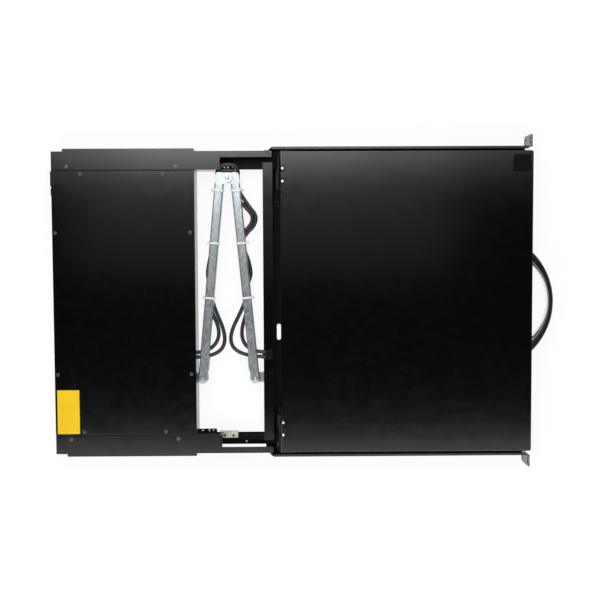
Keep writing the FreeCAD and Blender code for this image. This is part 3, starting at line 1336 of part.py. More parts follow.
def save_keyboard():
    save("keyboard_deck", keyboard_deck())
    save("key_base", key_base())
    save("touchpad", touchpad())
    left, right = button_spans()
    save("touchpad_button_left", touchpad_button(left))
    save("touchpad_button_right", touchpad_button(right))
    save("keys_space", Part.makeCompound(key_row(0)))
    save("keys_letters", Part.makeCompound([*key_row(1), *key_row(2), *key_row(3)]))
    save("keys_number", Part.makeCompound(key_row(4)))
    save("keys_function", Part.makeCompound(key_row(5)))


def save_lid():
    save("lid_cover", lid_cover())
    save("lid_bezel", lid_bezel())
    save("lcd_panel", lcd_panel())
    save("lid_boards", Part.makeCompound([lcd_board(), osd_board()]))
    save("osd_buttons", osd_buttons())
    save("hinge_leaves", hinge_leaves())
    save("upper_handle", upper_handle())
    save("lid_screws", Part.makeCompound(lid_screw_shapes()))


def main():
    os.makedirs("parts", exist_ok=True)
    save_frame()
    save_switch_box()
    save_cable_arm()
    save_drawer()
    save_keyboard()
    save_lid()


main()
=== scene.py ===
import json
import math

import bpy
from mathutils import Matrix, Vector


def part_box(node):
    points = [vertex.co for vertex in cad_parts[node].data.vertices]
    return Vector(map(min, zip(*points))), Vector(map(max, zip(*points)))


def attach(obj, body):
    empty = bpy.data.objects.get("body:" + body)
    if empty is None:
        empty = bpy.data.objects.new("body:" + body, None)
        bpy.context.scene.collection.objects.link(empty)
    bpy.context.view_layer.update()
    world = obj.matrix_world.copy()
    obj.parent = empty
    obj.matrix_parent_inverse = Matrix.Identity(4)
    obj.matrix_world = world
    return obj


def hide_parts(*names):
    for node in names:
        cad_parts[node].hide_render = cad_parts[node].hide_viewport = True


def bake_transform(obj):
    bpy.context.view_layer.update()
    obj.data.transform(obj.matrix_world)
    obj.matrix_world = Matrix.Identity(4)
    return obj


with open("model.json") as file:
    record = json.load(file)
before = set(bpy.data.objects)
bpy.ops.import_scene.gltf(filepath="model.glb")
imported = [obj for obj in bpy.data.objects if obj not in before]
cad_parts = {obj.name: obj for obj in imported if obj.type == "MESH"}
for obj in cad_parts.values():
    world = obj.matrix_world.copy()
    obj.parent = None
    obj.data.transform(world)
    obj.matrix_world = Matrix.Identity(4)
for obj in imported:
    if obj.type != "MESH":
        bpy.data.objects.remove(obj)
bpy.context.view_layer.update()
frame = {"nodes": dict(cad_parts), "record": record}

# A console drawer one rack unit high, pushed in: a flat lid over a keyboard tray, a switch box behind it and
# a folding cable arm between them. X runs across, Y from the front to the rear and Z up. Sizes are written in
# millimetres and turned to metres by MM; the camera and the lights are in metres.
MM = 0.001
BASE = -21.8


# ---------------------------------------------------------------- camera, light and floor
def camera():
    """Almost straight above the console, with its front edge to the right."""
    data = bpy.data.cameras.new("camera")
    data.sensor_width, data.lens = 36, 56.64
    data.clip_start, data.clip_end = 0.05, 30
    seen = bpy.data.objects.new("camera", data)
    seen.location = (0.08366, 0.34487, 1.38064)
    seen.rotation_euler = [math.radians(turn) for turn in (-3.3301, -0.5318, -90.2601)]
    bpy.context.scene.collection.objects.link(seen)
    bpy.context.scene.camera = seen
    bpy.context.scene.view_settings.view_transform = "Standard"


def softbox(name, place, size, brightness):
    """A level studio light that shines down; brightness 1 is that of white paper."""
    data = bpy.data.lights.new(name, "AREA")
    data.shape = "RECTANGLE"
    data.size, data.size_y = size
    data.energy = brightness * math.pi * size[0] * size[1]
    lamp = bpy.data.objects.new(name, data)
    lamp.location = place
    lamp.visible_camera = False
    bpy.context.scene.collection.objects.link(lamp)


def lights():
    """A softbox over each side, and a faint one beside the right one.

    The right one is graded from front to rear and brightest over the switch box."""
    height, wide, full = 1.2, 0.9, 6.2
    strips = ((-0.36, -0.10, 0.30), (-0.10, 0.15, 0.64), (0.15, 0.45, 0.98), (0.45, 0.80, 1.2),
              (0.80, 1.02, 0.66))
    for start, end, share in strips:
        softbox("softbox_right", (0.78, (start + end) / 2, height), (wide, end - start), full * share)
    softbox("softbox_right_edge", (0.17, 0.42, height), (0.26, 1.0), 0.30)
    softbox("softbox_left", (-0.96, 0.50, height), (wide, 2.2), 3.8)


def white_for_the_eye(tree, lit, outlet):
    """Lets the camera and the gloss see white, with only a faint shadow, while the light sees plain paint."""
    rays = add(tree, "ShaderNodeLightPath")
    mirror = add(tree, "ShaderNodeMath", {0: rays.outputs["Is Glossy Ray"],
                                          1: rays.outputs["Is Transmission Ray"]}, operation="MAXIMUM")
    seen = add(tree, "ShaderNodeMath", {0: rays.outputs["Is Camera Ray"], 1: mirror.outputs[0]},
               operation="MAXIMUM")
    share = add(tree, "ShaderNodeMath", {0: seen.outputs[0], 1: 0.9}, operation="MULTIPLY")
    glow = add(tree, "ShaderNodeEmission", {"Color": (1, 1, 1, 1), "Strength": 1.0})
    both = add(tree, "ShaderNodeMixShader", {0: share.outputs[0], 1: lit, 2: glow.outputs[0]})
    tree.links.new(both.outputs[0], outlet.inputs["Surface"])


def floor():
    """A matt white sweep just under the drawer, which keeps its shadow."""
    bpy.ops.object.select_all(action="DESELECT")
    bpy.ops.mesh.primitive_plane_add(size=12, location=(0, 0.34, (BASE - 0.4) * MM))
    sweep = bpy.context.object
    sweep.name = "floor"
    paint = bpy.data.materials.new("matt_white_sweep")
    paint.use_nodes = True
    tree = paint.node_tree
    tree.nodes.clear()
    lit = add(tree, "ShaderNodeBsdfDiffuse", {"Color": hex_colour("#f4f4f4")})
    white_for_the_eye(tree, lit.outputs[0], add(tree, "ShaderNodeOutputMaterial"))
    sweep.data.materials.append(paint)


def room():
    """A white room with a dark ceiling: white to the eye, dim from above to what is glossy."""
    world = bpy.data.worlds.new("studio")
    bpy.context.scene.world = world
    world.use_nodes = True
    tree = world.node_tree
    tree.nodes.clear()
    way = add(tree, "ShaderNodeTexCoord")
    height = add(tree, "ShaderNodeSeparateXYZ", {"Vector": way.outputs["Generated"]})
    ceiling = add(tree, "ShaderNodeMapRange", {"Value": height.outputs["Z"], "From Min": 0.12,
                                               "From Max": 0.72, "To Min": 0.75, "To Max": 0.02})
    rays = add(tree, "ShaderNodeLightPath")
    level = add(tree, "ShaderNodeMix", {0: rays.outputs["Is Camera Ray"], 2: ceiling.outputs[0], 3: 1.0})
    sky = add(tree, "ShaderNodeBackground", {"Color": (1, 1, 1, 1), "Strength": level.outputs[0]})
    tree.links.new(sky.outputs[0], add(tree, "ShaderNodeOutputWorld").inputs["Surface"])


# ---------------------------------------------------------------- how a material is built
def hex_colour(code):
    """An sRGB hex colour as the linear values that a shader takes."""
    parts = [int(code[i:i + 2], 16) / 255 for i in (1, 3, 5)]
    return (*[c / 12.92 if c <= 0.04045 else ((c + 0.055) / 1.055) ** 2.4 for c in parts], 1)


def add(tree, kind, inputs=None, **settings):
    """Adds a node with its settings; an input is either a value or the socket that feeds it."""
    node = tree.nodes.new(kind)
    for name, value in settings.items():
        setattr(node, name, value)
    for name, value in (inputs or {}).items():
        if isinstance(value, bpy.types.NodeSocket):
            tree.links.new(value, node.inputs[name])
        else:
            node.inputs[name].default_value = value
    return node


def finish(name, colour, **values):
    """A new material, its node tree, its shader and the object coordinates."""
    made = bpy.data.materials.new(name)
    made.use_nodes = True
    made.diffuse_color = hex_colour(colour)
    tree = made.node_tree
    shader = tree.nodes["Principled BSDF"]
    shader.inputs["Base Color"].default_value = hex_colour(colour)
    for socket, value in values.items():
        shader.inputs[socket.replace("_", " ")].default_value = value
    return made, tree, shader, add(tree, "ShaderNodeTexCoord").outputs["Object"]


def grain(tree, place, size_mm, detail=2.0):
    """Noise whose lumps are size_mm across."""
    return add(tree, "ShaderNodeTexNoise", {"Vector": place, "Scale": 1 / (size_mm * MM),
                                            "Detail": detail}).outputs[0]


def two_tones(tree, shader, amount, dark, light, low=0.35, high=0.65):
    """Colours the shader from dark to light as the amount goes from low to high."""
    ramp = add(tree, "ShaderNodeValToRGB", {"Fac": amount})
    for stop, position, colour in zip(ramp.color_ramp.elements, (low, high), (dark, light)):
        stop.position, stop.color = position, hex_colour(colour)
    tree.links.new(ramp.outputs[0], shader.inputs["Base Color"])


def two_glosses(tree, shader, amount, smoothest, dullest):
    """Spreads the shader's roughness over the middle of a noise."""
    spread = add(tree, "ShaderNodeMapRange", {"Value": amount, "From Min": 0.3, "From Max": 0.7,
                                              "To Min": smoothest, "To Max": dullest})
    tree.links.new(spread.outputs[0], shader.inputs["Roughness"])


def texture(tree, shader, height, depth_mm, edge_mm=0.0):
    """Bumps of depth_mm, with the edges softened over edge_mm as a press or a mould leaves them."""
    bump = add(tree, "ShaderNodeBump", {"Height": height, "Distance": depth_mm * MM, "Strength": 1.0})
    if edge_mm:
        edge = add(tree, "ShaderNodeBevel", {"Radius": edge_mm * MM}, samples=4)
        tree.links.new(edge.outputs[0], bump.inputs["Normal"])
    tree.links.new(bump.outputs[0], shader.inputs["Normal"])


# ---------------------------------------------------------------- materials
def powder_coat():
    """Black polyester powder coat with a fine leather grain: deep black that greys towards the lights."""
    made, tree, shader, place = finish("powder_coat_black_fine_texture", "#040405", Roughness=0.14)
    two_tones(tree, shader, grain(tree, place, 1.6), "#020203", "#060607")
    two_glosses(tree, shader, grain(tree, place, 14, 3.0), 0.12, 0.16)
    # the real grain is about 0.4 mm; it is drawn at 1.1 mm so that it shows
    texture(tree, shader, grain(tree, place, 1.1, 2.0), 0.07, edge_mm=0.7)
    return made


def zinc_plate(name, colour, dark, light, smoothest=0.26, dullest=0.38):
    """Zinc on pressed steel: a bright, slightly blue skin in soft spangles of a few millimetres."""
    made, tree, shader, place = finish(name, colour, Metallic=1.0, Roughness=0.32)
    spangle_mm = 4.5
    cells = add(tree, "ShaderNodeTexVoronoi", {"Vector": place, "Scale": 1 / (spangle_mm * MM),
                                               "Randomness": 1.0})
    shade = add(tree, "ShaderNodeSeparateXYZ", {"Vector": cells.outputs["Color"]})
    two_tones(tree, shader, shade.outputs[0], dark, light, 0.0, 1.0)
    two_glosses(tree, shader, grain(tree, place, 3.0, 3.0), smoothest, dullest)
    texture(tree, shader, grain(tree, place, 1.6, 2.0), 0.008, edge_mm=0.5)
    return made


def satin_metal(name, colour, roughness):
    """Nickel, thin zinc or phosphate on turned and pressed parts: smooth, with faint handling marks."""
    made, tree, shader, place = finish(name, colour, Metallic=1.0, Roughness=roughness)
    two_glosses(tree, shader, grain(tree, place, 0.8), roughness - 0.05, roughness + 0.08)
    texture(tree, shader, grain(tree, place, 0.5), 0.006, edge_mm=0.2)
    return made


def moulded(name, dark, light, roughness, spark_mm=0.6, depth_mm=0.02):
    """Injection-moulded plastic with the spark-eroded texture of its mould, which scatters the gloss."""
    made, tree, shader, place = finish(name, dark, Roughness=roughness, IOR=1.5)
    two_tones(tree, shader, grain(tree, place, 5.0), dark, light)
    two_glosses(tree, shader, grain(tree, place, 9.0), roughness - 0.04, roughness + 0.05)
    texture(tree, shader, grain(tree, place, spark_mm, 3.0), depth_mm, edge_mm=0.4)
    return made


def dip_coat():
    """Flat matt black that hardly shines: painted shade, put on pieces and parts that lie in shadow so that
    they stay dark.
    """
    made, tree, shader, place = finish("matt_black_painted_shade", "#030303", Roughness=0.62)
    shader.inputs["Specular IOR Level"].default_value = 0.12
    two_tones(tree, shader, grain(tree, place, 4.0), "#020202", "#050505")
    texture(tree, shader, grain(tree, place, 0.9), 0.02, edge_mm=0.5)
    return made


def display_glass():
    """The hard-coated face of the display: near black, with a soft anti-glare sheen."""
    made, tree, shader, place = finish("display_anti_glare_face", "#050609", Roughness=0.18, IOR=1.5)
    two_glosses(tree, shader, grain(tree, place, 0.4), 0.14, 0.24)
    texture(tree, shader, grain(tree, place, 0.25), 0.002)
    return made


def nylon():
    """Natural nylon 6.6: milky white and waxy, with a little light inside it."""
    made, tree, shader, place = finish("nylon_natural", "#d4d6d1", Roughness=0.36, IOR=1.53,
                                       Subsurface_Weight=0.15)
    shader.inputs["Subsurface Radius"].default_value = (0.002, 0.002, 0.0018)
    two_tones(tree, shader, grain(tree, place, 1.5), "#c9ccc6", "#dcddd9")
    texture(tree, shader, grain(tree, place, 0.6), 0.01)
    return made


def cable_jacket():
    """Extruded PVC jacket: warm dark grey, with the long soft highlight of a smooth round lead."""
    made, tree, shader, place = finish("pvc_jacket_dark", "#151312", Roughness=0.45, IOR=1.53)
    two_tones(tree, shader, grain(tree, place, 6.0), "#100e0e", "#1a1716")
    texture(tree, shader, grain(tree, place, 0.7), 0.015)
    return made


def vinyl_label(name, colour, edge, roughness, shine):
    """Printed vinyl film: one flat colour under a thin gloss, dulled where it has been rubbed."""
    made, tree, shader, place = finish(name, colour, Roughness=roughness, IOR=1.48, Specular_IOR_Level=shine)
    two_tones(tree, shader, grain(tree, place, 18.0, 3.0), edge, colour)
    two_glosses(tree, shader, grain(tree, place, 7.0), roughness - 0.05, roughness + 0.12)
    texture(tree, shader, grain(tree, place, 4.0), 0.01)
    return made


def solder_mask():
    """Green lacquer over copper tracks, which show as slightly raised, lighter lines."""
    made, tree, shader, place = finish("solder_mask_green", "#0f3d24", Roughness=0.3, IOR=1.5)
    pitch_mm = 3.0
    tracks = add(tree, "ShaderNodeTexBrick", {"Vector": place, "Scale": 1 / (pitch_mm * MM),
                                              "Mortar Size": 0.08, "Color1": hex_colour("#0c331e"),
                                              "Color2": hex_colour("#12472b"),
                                              "Mortar": hex_colour("#2a6b45")})
    tree.links.new(tracks.outputs[0], shader.inputs["Base Color"])
    texture(tree, shader, tracks.outputs[1], 0.03)
    return made


def materials():
    """Every finish of the console, by the name that its pieces ask for."""
    return {
        "powder_black": powder_coat(),
        "zinc_plated": zinc_plate("zinc_plated_steel", "#b9c2c8", "#a9b4bc", "#cbd4d9"),
        "moulded_black": moulded("abs_black_textured", "#0e0e10", "#141416", 0.5),
        "keycap_black": moulded("abs_keycap_black", "#101012", "#161618", 0.42, 0.5, 0.015),
        "screen_black": display_glass(),
        "handle_dark": moulded("handle_satin_brown_black", "#0e0703", "#1a0d06", 0.3, 1.2, 0.01),
        "strap_bright": satin_metal("strap_bright_nickel", "#e6e4df", 0.22),
        "nylon_white": nylon(),
        "circuit_green": solder_mask(),
        "connector_black": moulded("pbt_connector_black", "#0b0b0c", "#101011", 0.45, 0.4, 0.01),
        "nickel": satin_metal("nickel_plated_steel", "#c4c0b6", 0.28),
        "screw_black": satin_metal("screw_black_zinc", "#5c5c5f", 0.42),
        "cable_jacket": cable_jacket(),
        "screw_gold": satin_metal("screw_yellow_passivated_zinc", "#e8dfc6", 0.3),
        "screw_white": satin_metal("screw_clear_zinc", "#f0efec", 0.24),
        "cream_zinc": zinc_plate("zinc_yellow_passivated_steel", "#aba69a", "#a09b8e", "#b8b3a7"),
        "label_yellow": vinyl_label("vinyl_label_yellow", "#dcb80a", "#d6b008", 0.5, 0.25),
        "label_black": vinyl_label("vinyl_label_black", "#040405", "#030303", 0.5, 0.1),
        "arm_zinc": zinc_plate("galvanised_steel_bright", "#a4acb0", "#9aa2a6", "#b0b7bb", 0.28, 0.37),
        "rivet_steel": satin_metal("rivet_plated_steel", "#c2c1bb", 0.3),
        "hinge_steel": satin_metal("hinge_steel_phosphated", "#1a1b1a", 0.45),
        "dip_coat": dip_coat(),
        "wall_zinc": zinc_plate("hot_dip_galvanised_dull", "#8d8a84", "#807d77", "#9c9993"),
        # the slides are drawn near black instead of bright zinc
        "slide_steel": satin_metal("slide_steel_near_black", "#1d1d1f", 0.4),
        "contact_gold": satin_metal("contact_gold_flash", "#c9a44e", 0.25),
    }


# ---------------------------------------------------------------- how a piece is modelled
def alone(piece):
    """Selects one piece and nothing else, in object mode."""
    if bpy.context.mode != "OBJECT":
        bpy.ops.object.mode_set(mode="OBJECT")
    bpy.ops.object.select_all(action="DESELECT")
    piece.select_set(True)
    bpy.context.view_layer.objects.active = piece


def settle(piece):
    """Puts the piece's place, turn and scale into its mesh."""
    alone(piece)
    bpy.ops.object.transform_apply(location=True, rotation=True, scale=True)
    return piece


def block(x0, x1, y0, y1, z0, z1):
    """A square-edged block between two places on each axis."""
    spans = ((x0, x1), (y0, y1), (z0, z1))
    bpy.ops.object.select_all(action="DESELECT")
    bpy.ops.mesh.primitive_cube_add(size=1, location=[(a + b) / 2 * MM for a, b in spans],
                                    scale=[(b - a) * MM for a, b in spans])
    return settle(bpy.context.object)


def bar(radius, x, y, z0, z1, sides=24):
    """An upright round bar."""
    bpy.ops.object.select_all(action="DESELECT")
    bpy.ops.mesh.primitive_cylinder_add(vertices=sides, radius=radius * MM, depth=(z1 - z0) * MM,
                                        location=(x * MM, y * MM, (z0 + z1) / 2 * MM))
    return settle(bpy.context.object)


def choose(piece, kind, wanted):
    """Opens edit mode with the edges or corners selected whose place in millimetres passes the test.

    An edge is tested by its middle and its run, a corner by its place."""
    alone(piece)
    bpy.ops.object.mode_set(mode="EDIT")
    bpy.ops.mesh.select_mode(type=kind)
    bpy.ops.mesh.select_all(action="DESELECT")
    bpy.ops.object.mode_set(mode="OBJECT")
    mesh = piece.data
    if kind == "EDGE":
        for edge in mesh.edges:
            a, b = (mesh.vertices[i].co / MM for i in edge.vertices)
            edge.select = bool(wanted((a + b) / 2, b - a))
    else:
        for corner in mesh.vertices:
            corner.select = bool(wanted(corner.co / MM))
    bpy.ops.object.mode_set(mode="EDIT")


def soften(width, steps):
    """Rounds the selected edges and leaves edit mode."""
    bpy.ops.mesh.bevel(offset=width * MM, segments=steps)
    bpy.ops.object.mode_set(mode="OBJECT")


def modify(piece, kind, **settings):
    """Adds a modifier and applies it."""
    alone(piece)
    made = piece.modifiers.new(kind.lower(), kind)
    for name, value in settings.items():
        setattr(made, name, value)
    bpy.ops.object.modifier_apply(modifier=made.name)


def cut(piece, tool):
    """Takes the tool's shape out of the piece."""
    modify(piece, "BOOLEAN", object=tool, operation="DIFFERENCE", solver="EXACT")
    bpy.data.objects.remove(tool)


def unite(piece, tool):
    """Melts the tool's shape into the piece."""
    modify(piece, "BOOLEAN", object=tool, operation="UNION", solver="EXACT")
    bpy.data.objects.remove(tool)


def carry(piece, place):
    """Moves a finished mesh by a matrix and turns its faces outwards again where the matrix mirrors."""
    piece.data.transform(place)
    outward(piece)


def edges_softened(piece, width):
    """Rounds every edge that turns by more than 35 degrees."""
    modify(piece, "BEVEL", width=width * MM, segments=2, limit_method="ANGLE", angle_limit=math.radians(35))


def join(pieces):
    """Several pieces as one."""
    alone(pieces[0])
    for piece in pieces[1:]:
        piece.select_set(True)
    bpy.ops.object.join()
    return bpy.context.object


def metres(place):
    return tuple(v * MM for v in place)


def copy_of(piece, place):
    """A copy with its own mesh, moved by a matrix."""
    twin = piece.copy()
    twin.data = piece.data.copy()
    twin.data.transform(place)
    bpy.context.scene.collection.objects.link(twin)
    return twin


def outward(piece):
    """Merges doubled corners and turns every face outwards."""
    alone(piece)
    bpy.ops.object.mode_set(mode="EDIT")
    bpy.ops.mesh.select_all(action="SELECT")
    bpy.ops.mesh.remove_doubles(threshold=0.005 * MM)
    bpy.ops.mesh.normals_make_consistent(inside=False)
    bpy.ops.object.mode_set(mode="OBJECT")


def done(piece, name, finish_name, body, node=None, smooth=35):
    """Names and paints a finished piece, and lets it ride on its body in place of any CAD node it shows."""
    alone(piece)
    bpy.ops.object.shade_smooth_by_angle(angle=math.radians(smooth))
    piece.name = piece.data.name = name
    piece.data.materials.clear()
    piece.data.materials.append(PAINT[finish_name])
    if body:
        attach(piece, body)
    if node:
        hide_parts(node)
    return piece


# ---------------------------------------------------------------- sizes shared with the CAD model
BOX_FRONT, BOX_REAR, BOX_OUT, BOX_SHEET, TOP = 483.4, 688.0, 191.8, 1.2, 20.0
BAY_SIDE = 192.0  # inner face of both rear brackets
LEDGE_TOP, LEDGE_FRONT, LEDGE_SHEET = -1.0, 456.0, 1.2
PIVOT_X, REAR_PIVOT_Y, FRONT_PIVOT_Y = -110.914, 474.7, 398.4
ARM_TURN = 5.351  # degrees between an arm and a line straight across
ARM_REACH, WEB_END = 293.8, 284.8  # from the pivot to the knee and to the channel's end
ARM_HALF, ARM_LOW, ARM_TOP, ARM_SHEET, ARM_SHOULDER = 6.5, 4.0, 16.0, 1.2, 1.9
LUG_R, LUG_ASIDE, LUG_STACK = 7.0, 10.8, 1.7  # knee lug: round end, offset from the axis, step to the other
RIVET_R, RIVET_PROUD, KNEE_PIN_R, KNEE_TAIL_R, PIVOT_BORE_R = 2.7, 1.5, 2.5, 4.2, 2.55
CABLE_R, CABLE_LOW, CABLE_HIGH = 2.8, 1.1, 7.6
TIES = (119.0, 198.5, 275.0)


def arm_frame(front):
    """An arm's own frame: pivot at zero, channel along +X, knee on the -Y side."""
    turn = math.radians(ARM_TURN)
    if front:
        place = Matrix.Translation((PIVOT_X * MM, FRONT_PIVOT_Y * MM, -LUG_STACK * MM))
        return place @ Matrix.Rotation(turn, 4, "Z") @ Matrix.Scale(-1, 4, (0, 1, 0))
    return Matrix.Translation((PIVOT_X * MM, REAR_PIVOT_Y * MM, 0)) @ Matrix.Rotation(-turn, 4, "Z")


def on_arm(along, aside, z, front):
    """A point beside an arm's axis, in the model's frame; z stays as given."""
    place = arm_frame(front) @ Vector((along * MM, aside * MM, 0))
    return place.x / MM, place.y / MM, z


# ---------------------------------------------------------------- cables
def cable_low(front):
    """The height of the low runs: the front arm hangs lower by one lug."""
    return CABLE_LOW - (LUG_STACK if front else 0)


def tube(points):
    """A round cable on a smooth line with the points as its controls."""
    line = bpy.data.curves.new("cable", "CURVE")
    line.dimensions = "3D"
    line.bevel_depth, line.bevel_resolution, line.resolution_u = CABLE_R * MM, 5, 14
    line.use_fill_caps = True
    run = line.splines.new("NURBS")
    run.points.add(len(points) - 1)
    for held, place in zip(run.points, points):
        held.co = (*metres(place), 1)
    run.order_u = 3
    run.use_endpoint_u = True
    cable = bpy.data.objects.new("cable", line)
    bpy.context.scene.collection.objects.link(cable)
    alone(cable)
    bpy.ops.object.convert(target="MESH")
    return bpy.context.object


def arm_run(front, inner):
    """Along one arm, from where its loop ends to where the knee's loop begins."""
    low = cable_low(front)
    if inner and front:
        places = [(130, -2.4, low), (145, -2.4, low), (182, -2.4, low), (206, -2.4, low), (215, 5.2, low),
                  (224.5, 16.6, low), (236.5, 20.2, low), (248, 12.2, low), (258.5, 4.2, low),
                  (262, -2.4, CABLE_HIGH)]
    elif inner:
        places = [(130, -2.4, low), (145, -2.4, low), (182, -2.4, CABLE_HIGH), (262, -2.4, CABLE_HIGH)]
    elif front:
        places = [(130, 2.4, low), (138, 2.4, low), (152, 9.5, low), (172, 7.5, low), (190, 2.4, low),
                  (204, 2.4, low), (212, 8, low), (222, 21, low), (236, 25.5, low), (250, 16, low),
                  (262, 9.6, low)]
    else:
        places = [(130, 2.4, low), (138, 2.4, low), (152, 7.2, low), (172, 6, low), (190, 2.4, low),
                  (206, 2.4, low), (236, 2.4, CABLE_HIGH), (262, 2.4, CABLE_HIGH)]
    return [on_arm(*place, front) for place in places]


def knee_end(aside, exit_z, front):
    """A lead's points at the knee end of an arm, from the outside inwards."""
    return [on_arm(280, aside, exit_z, front), on_arm(267, aside, CABLE_HIGH, front),
            on_arm(262, aside, CABLE_HIGH, front)]


def knee_run(inner):
    """Out of the rear arm's channel, round the knee and back along the front arm."""
    if inner:
        return [*reversed(knee_end(-2.4, 9.0, False)), (191.6, 452.8, 10.0), (191.6, 420.3, 10.0),
                *knee_end(-2.4, 9.0, True)]
    low = cable_low(True)
    tail = [on_arm(along, aside, low, True) for along, aside in ((287, 2.8), (273.5, 3.9), (267, 6.9),
                                                                 (262, 9.6))]
    return [*reversed(knee_end(2.4, 6.2, False)), (201.0, 452.4, 5.2), (201.0, 420.7, 5.2), *tail]


def loop_run(front, inner):
    """The slack from the box, or from the drawer's beam, to its arm."""
    low = cable_low(front)
    if front:
        leads = ([(-73.114, 379.5, low), (-73.114, 406.0, low), (-48.114, 421.5, low)] if inner else
                 [(-79.914, 379.5, low), (-79.914, 417.0, low), (-55.314, 440.5, low)])
    else:
        leads = ([(-73.114, 489.4, low), (-73.114, 465.5, low), (-45.914, 447.0, low)] if inner else
                 [(-79.914, 489.4, low), (-79.914, 457.0, low), (-54.714, 437.8, low)])
    ends = ((106, 0.5), (125, 2.4), (130, 2.4)) if inner else ((112, -3.4), (125, -2.4), (130, -2.4))
    return leads + [on_arm(*end, low, front) for end in ends]


def cables():
    """Two leads side by side in each arm, and the three loops between the box, the arms and the drawer."""
    for front, body in ((False, "arm_rear"), (True, "arm_front")):
        pair = join([tube(arm_run(front, inner)) for inner in (False, True)])
        done(pair, f"cables_{body}", "cable_jacket", body, node=f"cable_{body}")
    knee = join([tube(knee_run(inner)) for inner in (False, True)])
    done(knee, "cables_round_knee", "cable_jacket", None, node="cable_knee_loop")
    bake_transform(knee)
    switch = join([tube(loop_run(False, inner)) for inner in (False, True)])
    done(switch, "cables_from_box", "cable_jacket", None, node="cable_switch_loop")
    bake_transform(switch)
    tray = join([tube(loop_run(True, inner)) for inner in (False, True)])
    done(tray, "cables_from_drawer", "cable_jacket", None, node="cable_tray_loop")
    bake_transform(tray)


# ---------------------------------------------------------------- cable arm
def domed(radius, x, y, z0, z1, dome):
    """A round head, softened over its top edge."""
    head = bar(radius, x, y, z0, z1, 32)
    choose(head, "EDGE", lambda middle, run: middle.z > z1 - 0.01)
    soften(dome, 4)
    return head


def arm(front):
    """Pressed channel, open below: a round eye with a groove at the pivot and a cranked lug at the knee."""
    channel = block(0, WEB_END, -ARM_HALF, ARM_HALF, ARM_LOW, ARM_TOP)
    choose(channel, "EDGE", lambda middle, run: middle.z > ARM_TOP - 0.1 and abs(run.x) > 100)
    soften(ARM_SHOULDER, 5)
    unite(channel, domed(ARM_HALF, 0, 0, ARM_LOW, ARM_TOP, ARM_SHOULDER))
    # a stiffening rib beside the eye
    rib = block(13, 33, -ARM_HALF - 1.3, -ARM_HALF + 1, ARM_LOW + 2, ARM_TOP - 0.6)
    choose(rib, "EDGE", lambda middle, run: middle.y < -ARM_HALF and abs(run.z) + abs(run.x) > 1)
    soften(0.9, 3)
    unite(channel, rib)
    # hollow all along, and open below from the eye onwards
    inside = ARM_HALF - ARM_SHEET
    cut(channel, block(-9, WEB_END + 1, -inside, inside, ARM_LOW + ARM_SHEET, ARM_TOP - ARM_SHEET))
    cut(channel, block(12, WEB_END + 1, -inside, inside, ARM_LOW - 1, ARM_LOW + 2))
    unite(channel, knee_lug())
    # the pressed groove beside the eye
    cut(channel, block(16, 27, -ARM_HALF + 1.5, -ARM_HALF + 3.6, ARM_TOP - 0.5, ARM_TOP + 1))
    if not front:
        cut(channel, bar(PIVOT_BORE_R, 0, 0, 0, 20, 32))
    cut(channel, bar(KNEE_PIN_R, ARM_REACH, -LUG_ASIDE, 0, 20, 32))
    return channel


def knee_lug():
    """The flat end that one arm lays over the other, with its outer corner rounded."""
    high, low = ARM_TOP, ARM_TOP - ARM_SHEET
    lug = block(WEB_END - 0.5, ARM_REACH + LUG_R, -LUG_ASIDE, ARM_HALF, low, high)
    choose(lug, "EDGE", lambda middle, run: middle.y > 0 and middle.x > ARM_REACH and abs(run.z) > 1)
    soften(4.6, 6)
    unite(lug, bar(LUG_R, ARM_REACH, -LUG_ASIDE, low, high, 40))
    return lug


def arms():
    """The rear arm rides on the box's bracket, the front arm on the drawer's."""
    for front, body in ((False, "arm_rear"), (True, "arm_front")):
        channel = arm(front)
        carry(channel, arm_frame(front))
        done(channel, f"{body}_channel", "arm_zinc", body, node=body)


def rivets():
    """Domed heads over both pivots, and the knee's rivet with its pin and its flat tail."""
    seat = ARM_TOP - LUG_STACK
    head = domed(RIVET_R, PIVOT_X, FRONT_PIVOT_Y, seat - 0.2, seat + RIVET_PROUD, 1.2)
    done(head, "pivot_rivet_front", "rivet_steel", "arm_front")
    stud_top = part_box("arm_bracket_rear")[1][2] / MM
    crown = domed(RIVET_R, PIVOT_X, REAR_PIVOT_Y, stud_top - 0.3, stud_top + 0.9, 0.8)
    done(crown, "pivot_rivet_rear", "rivet_steel", "frame")
    x, y = [(a + b) / 2 / MM for a, b in zip(*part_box("knee_rivet"))][:2]
    head = domed(RIVET_R, x, y, ARM_TOP - 0.1, ARM_TOP + RIVET_PROUD, 1.2)
    low = ARM_TOP - LUG_STACK - ARM_SHEET - 0.3
    unite(head, bar(KNEE_PIN_R, x, y, low, ARM_TOP, 32))
    unite(head, bar(KNEE_TAIL_R, x, y, low - 1.5, low, 32))
    done(head, "knee_rivet_domed", "rivet_steel", "arm_rear", node="knee_rivet")


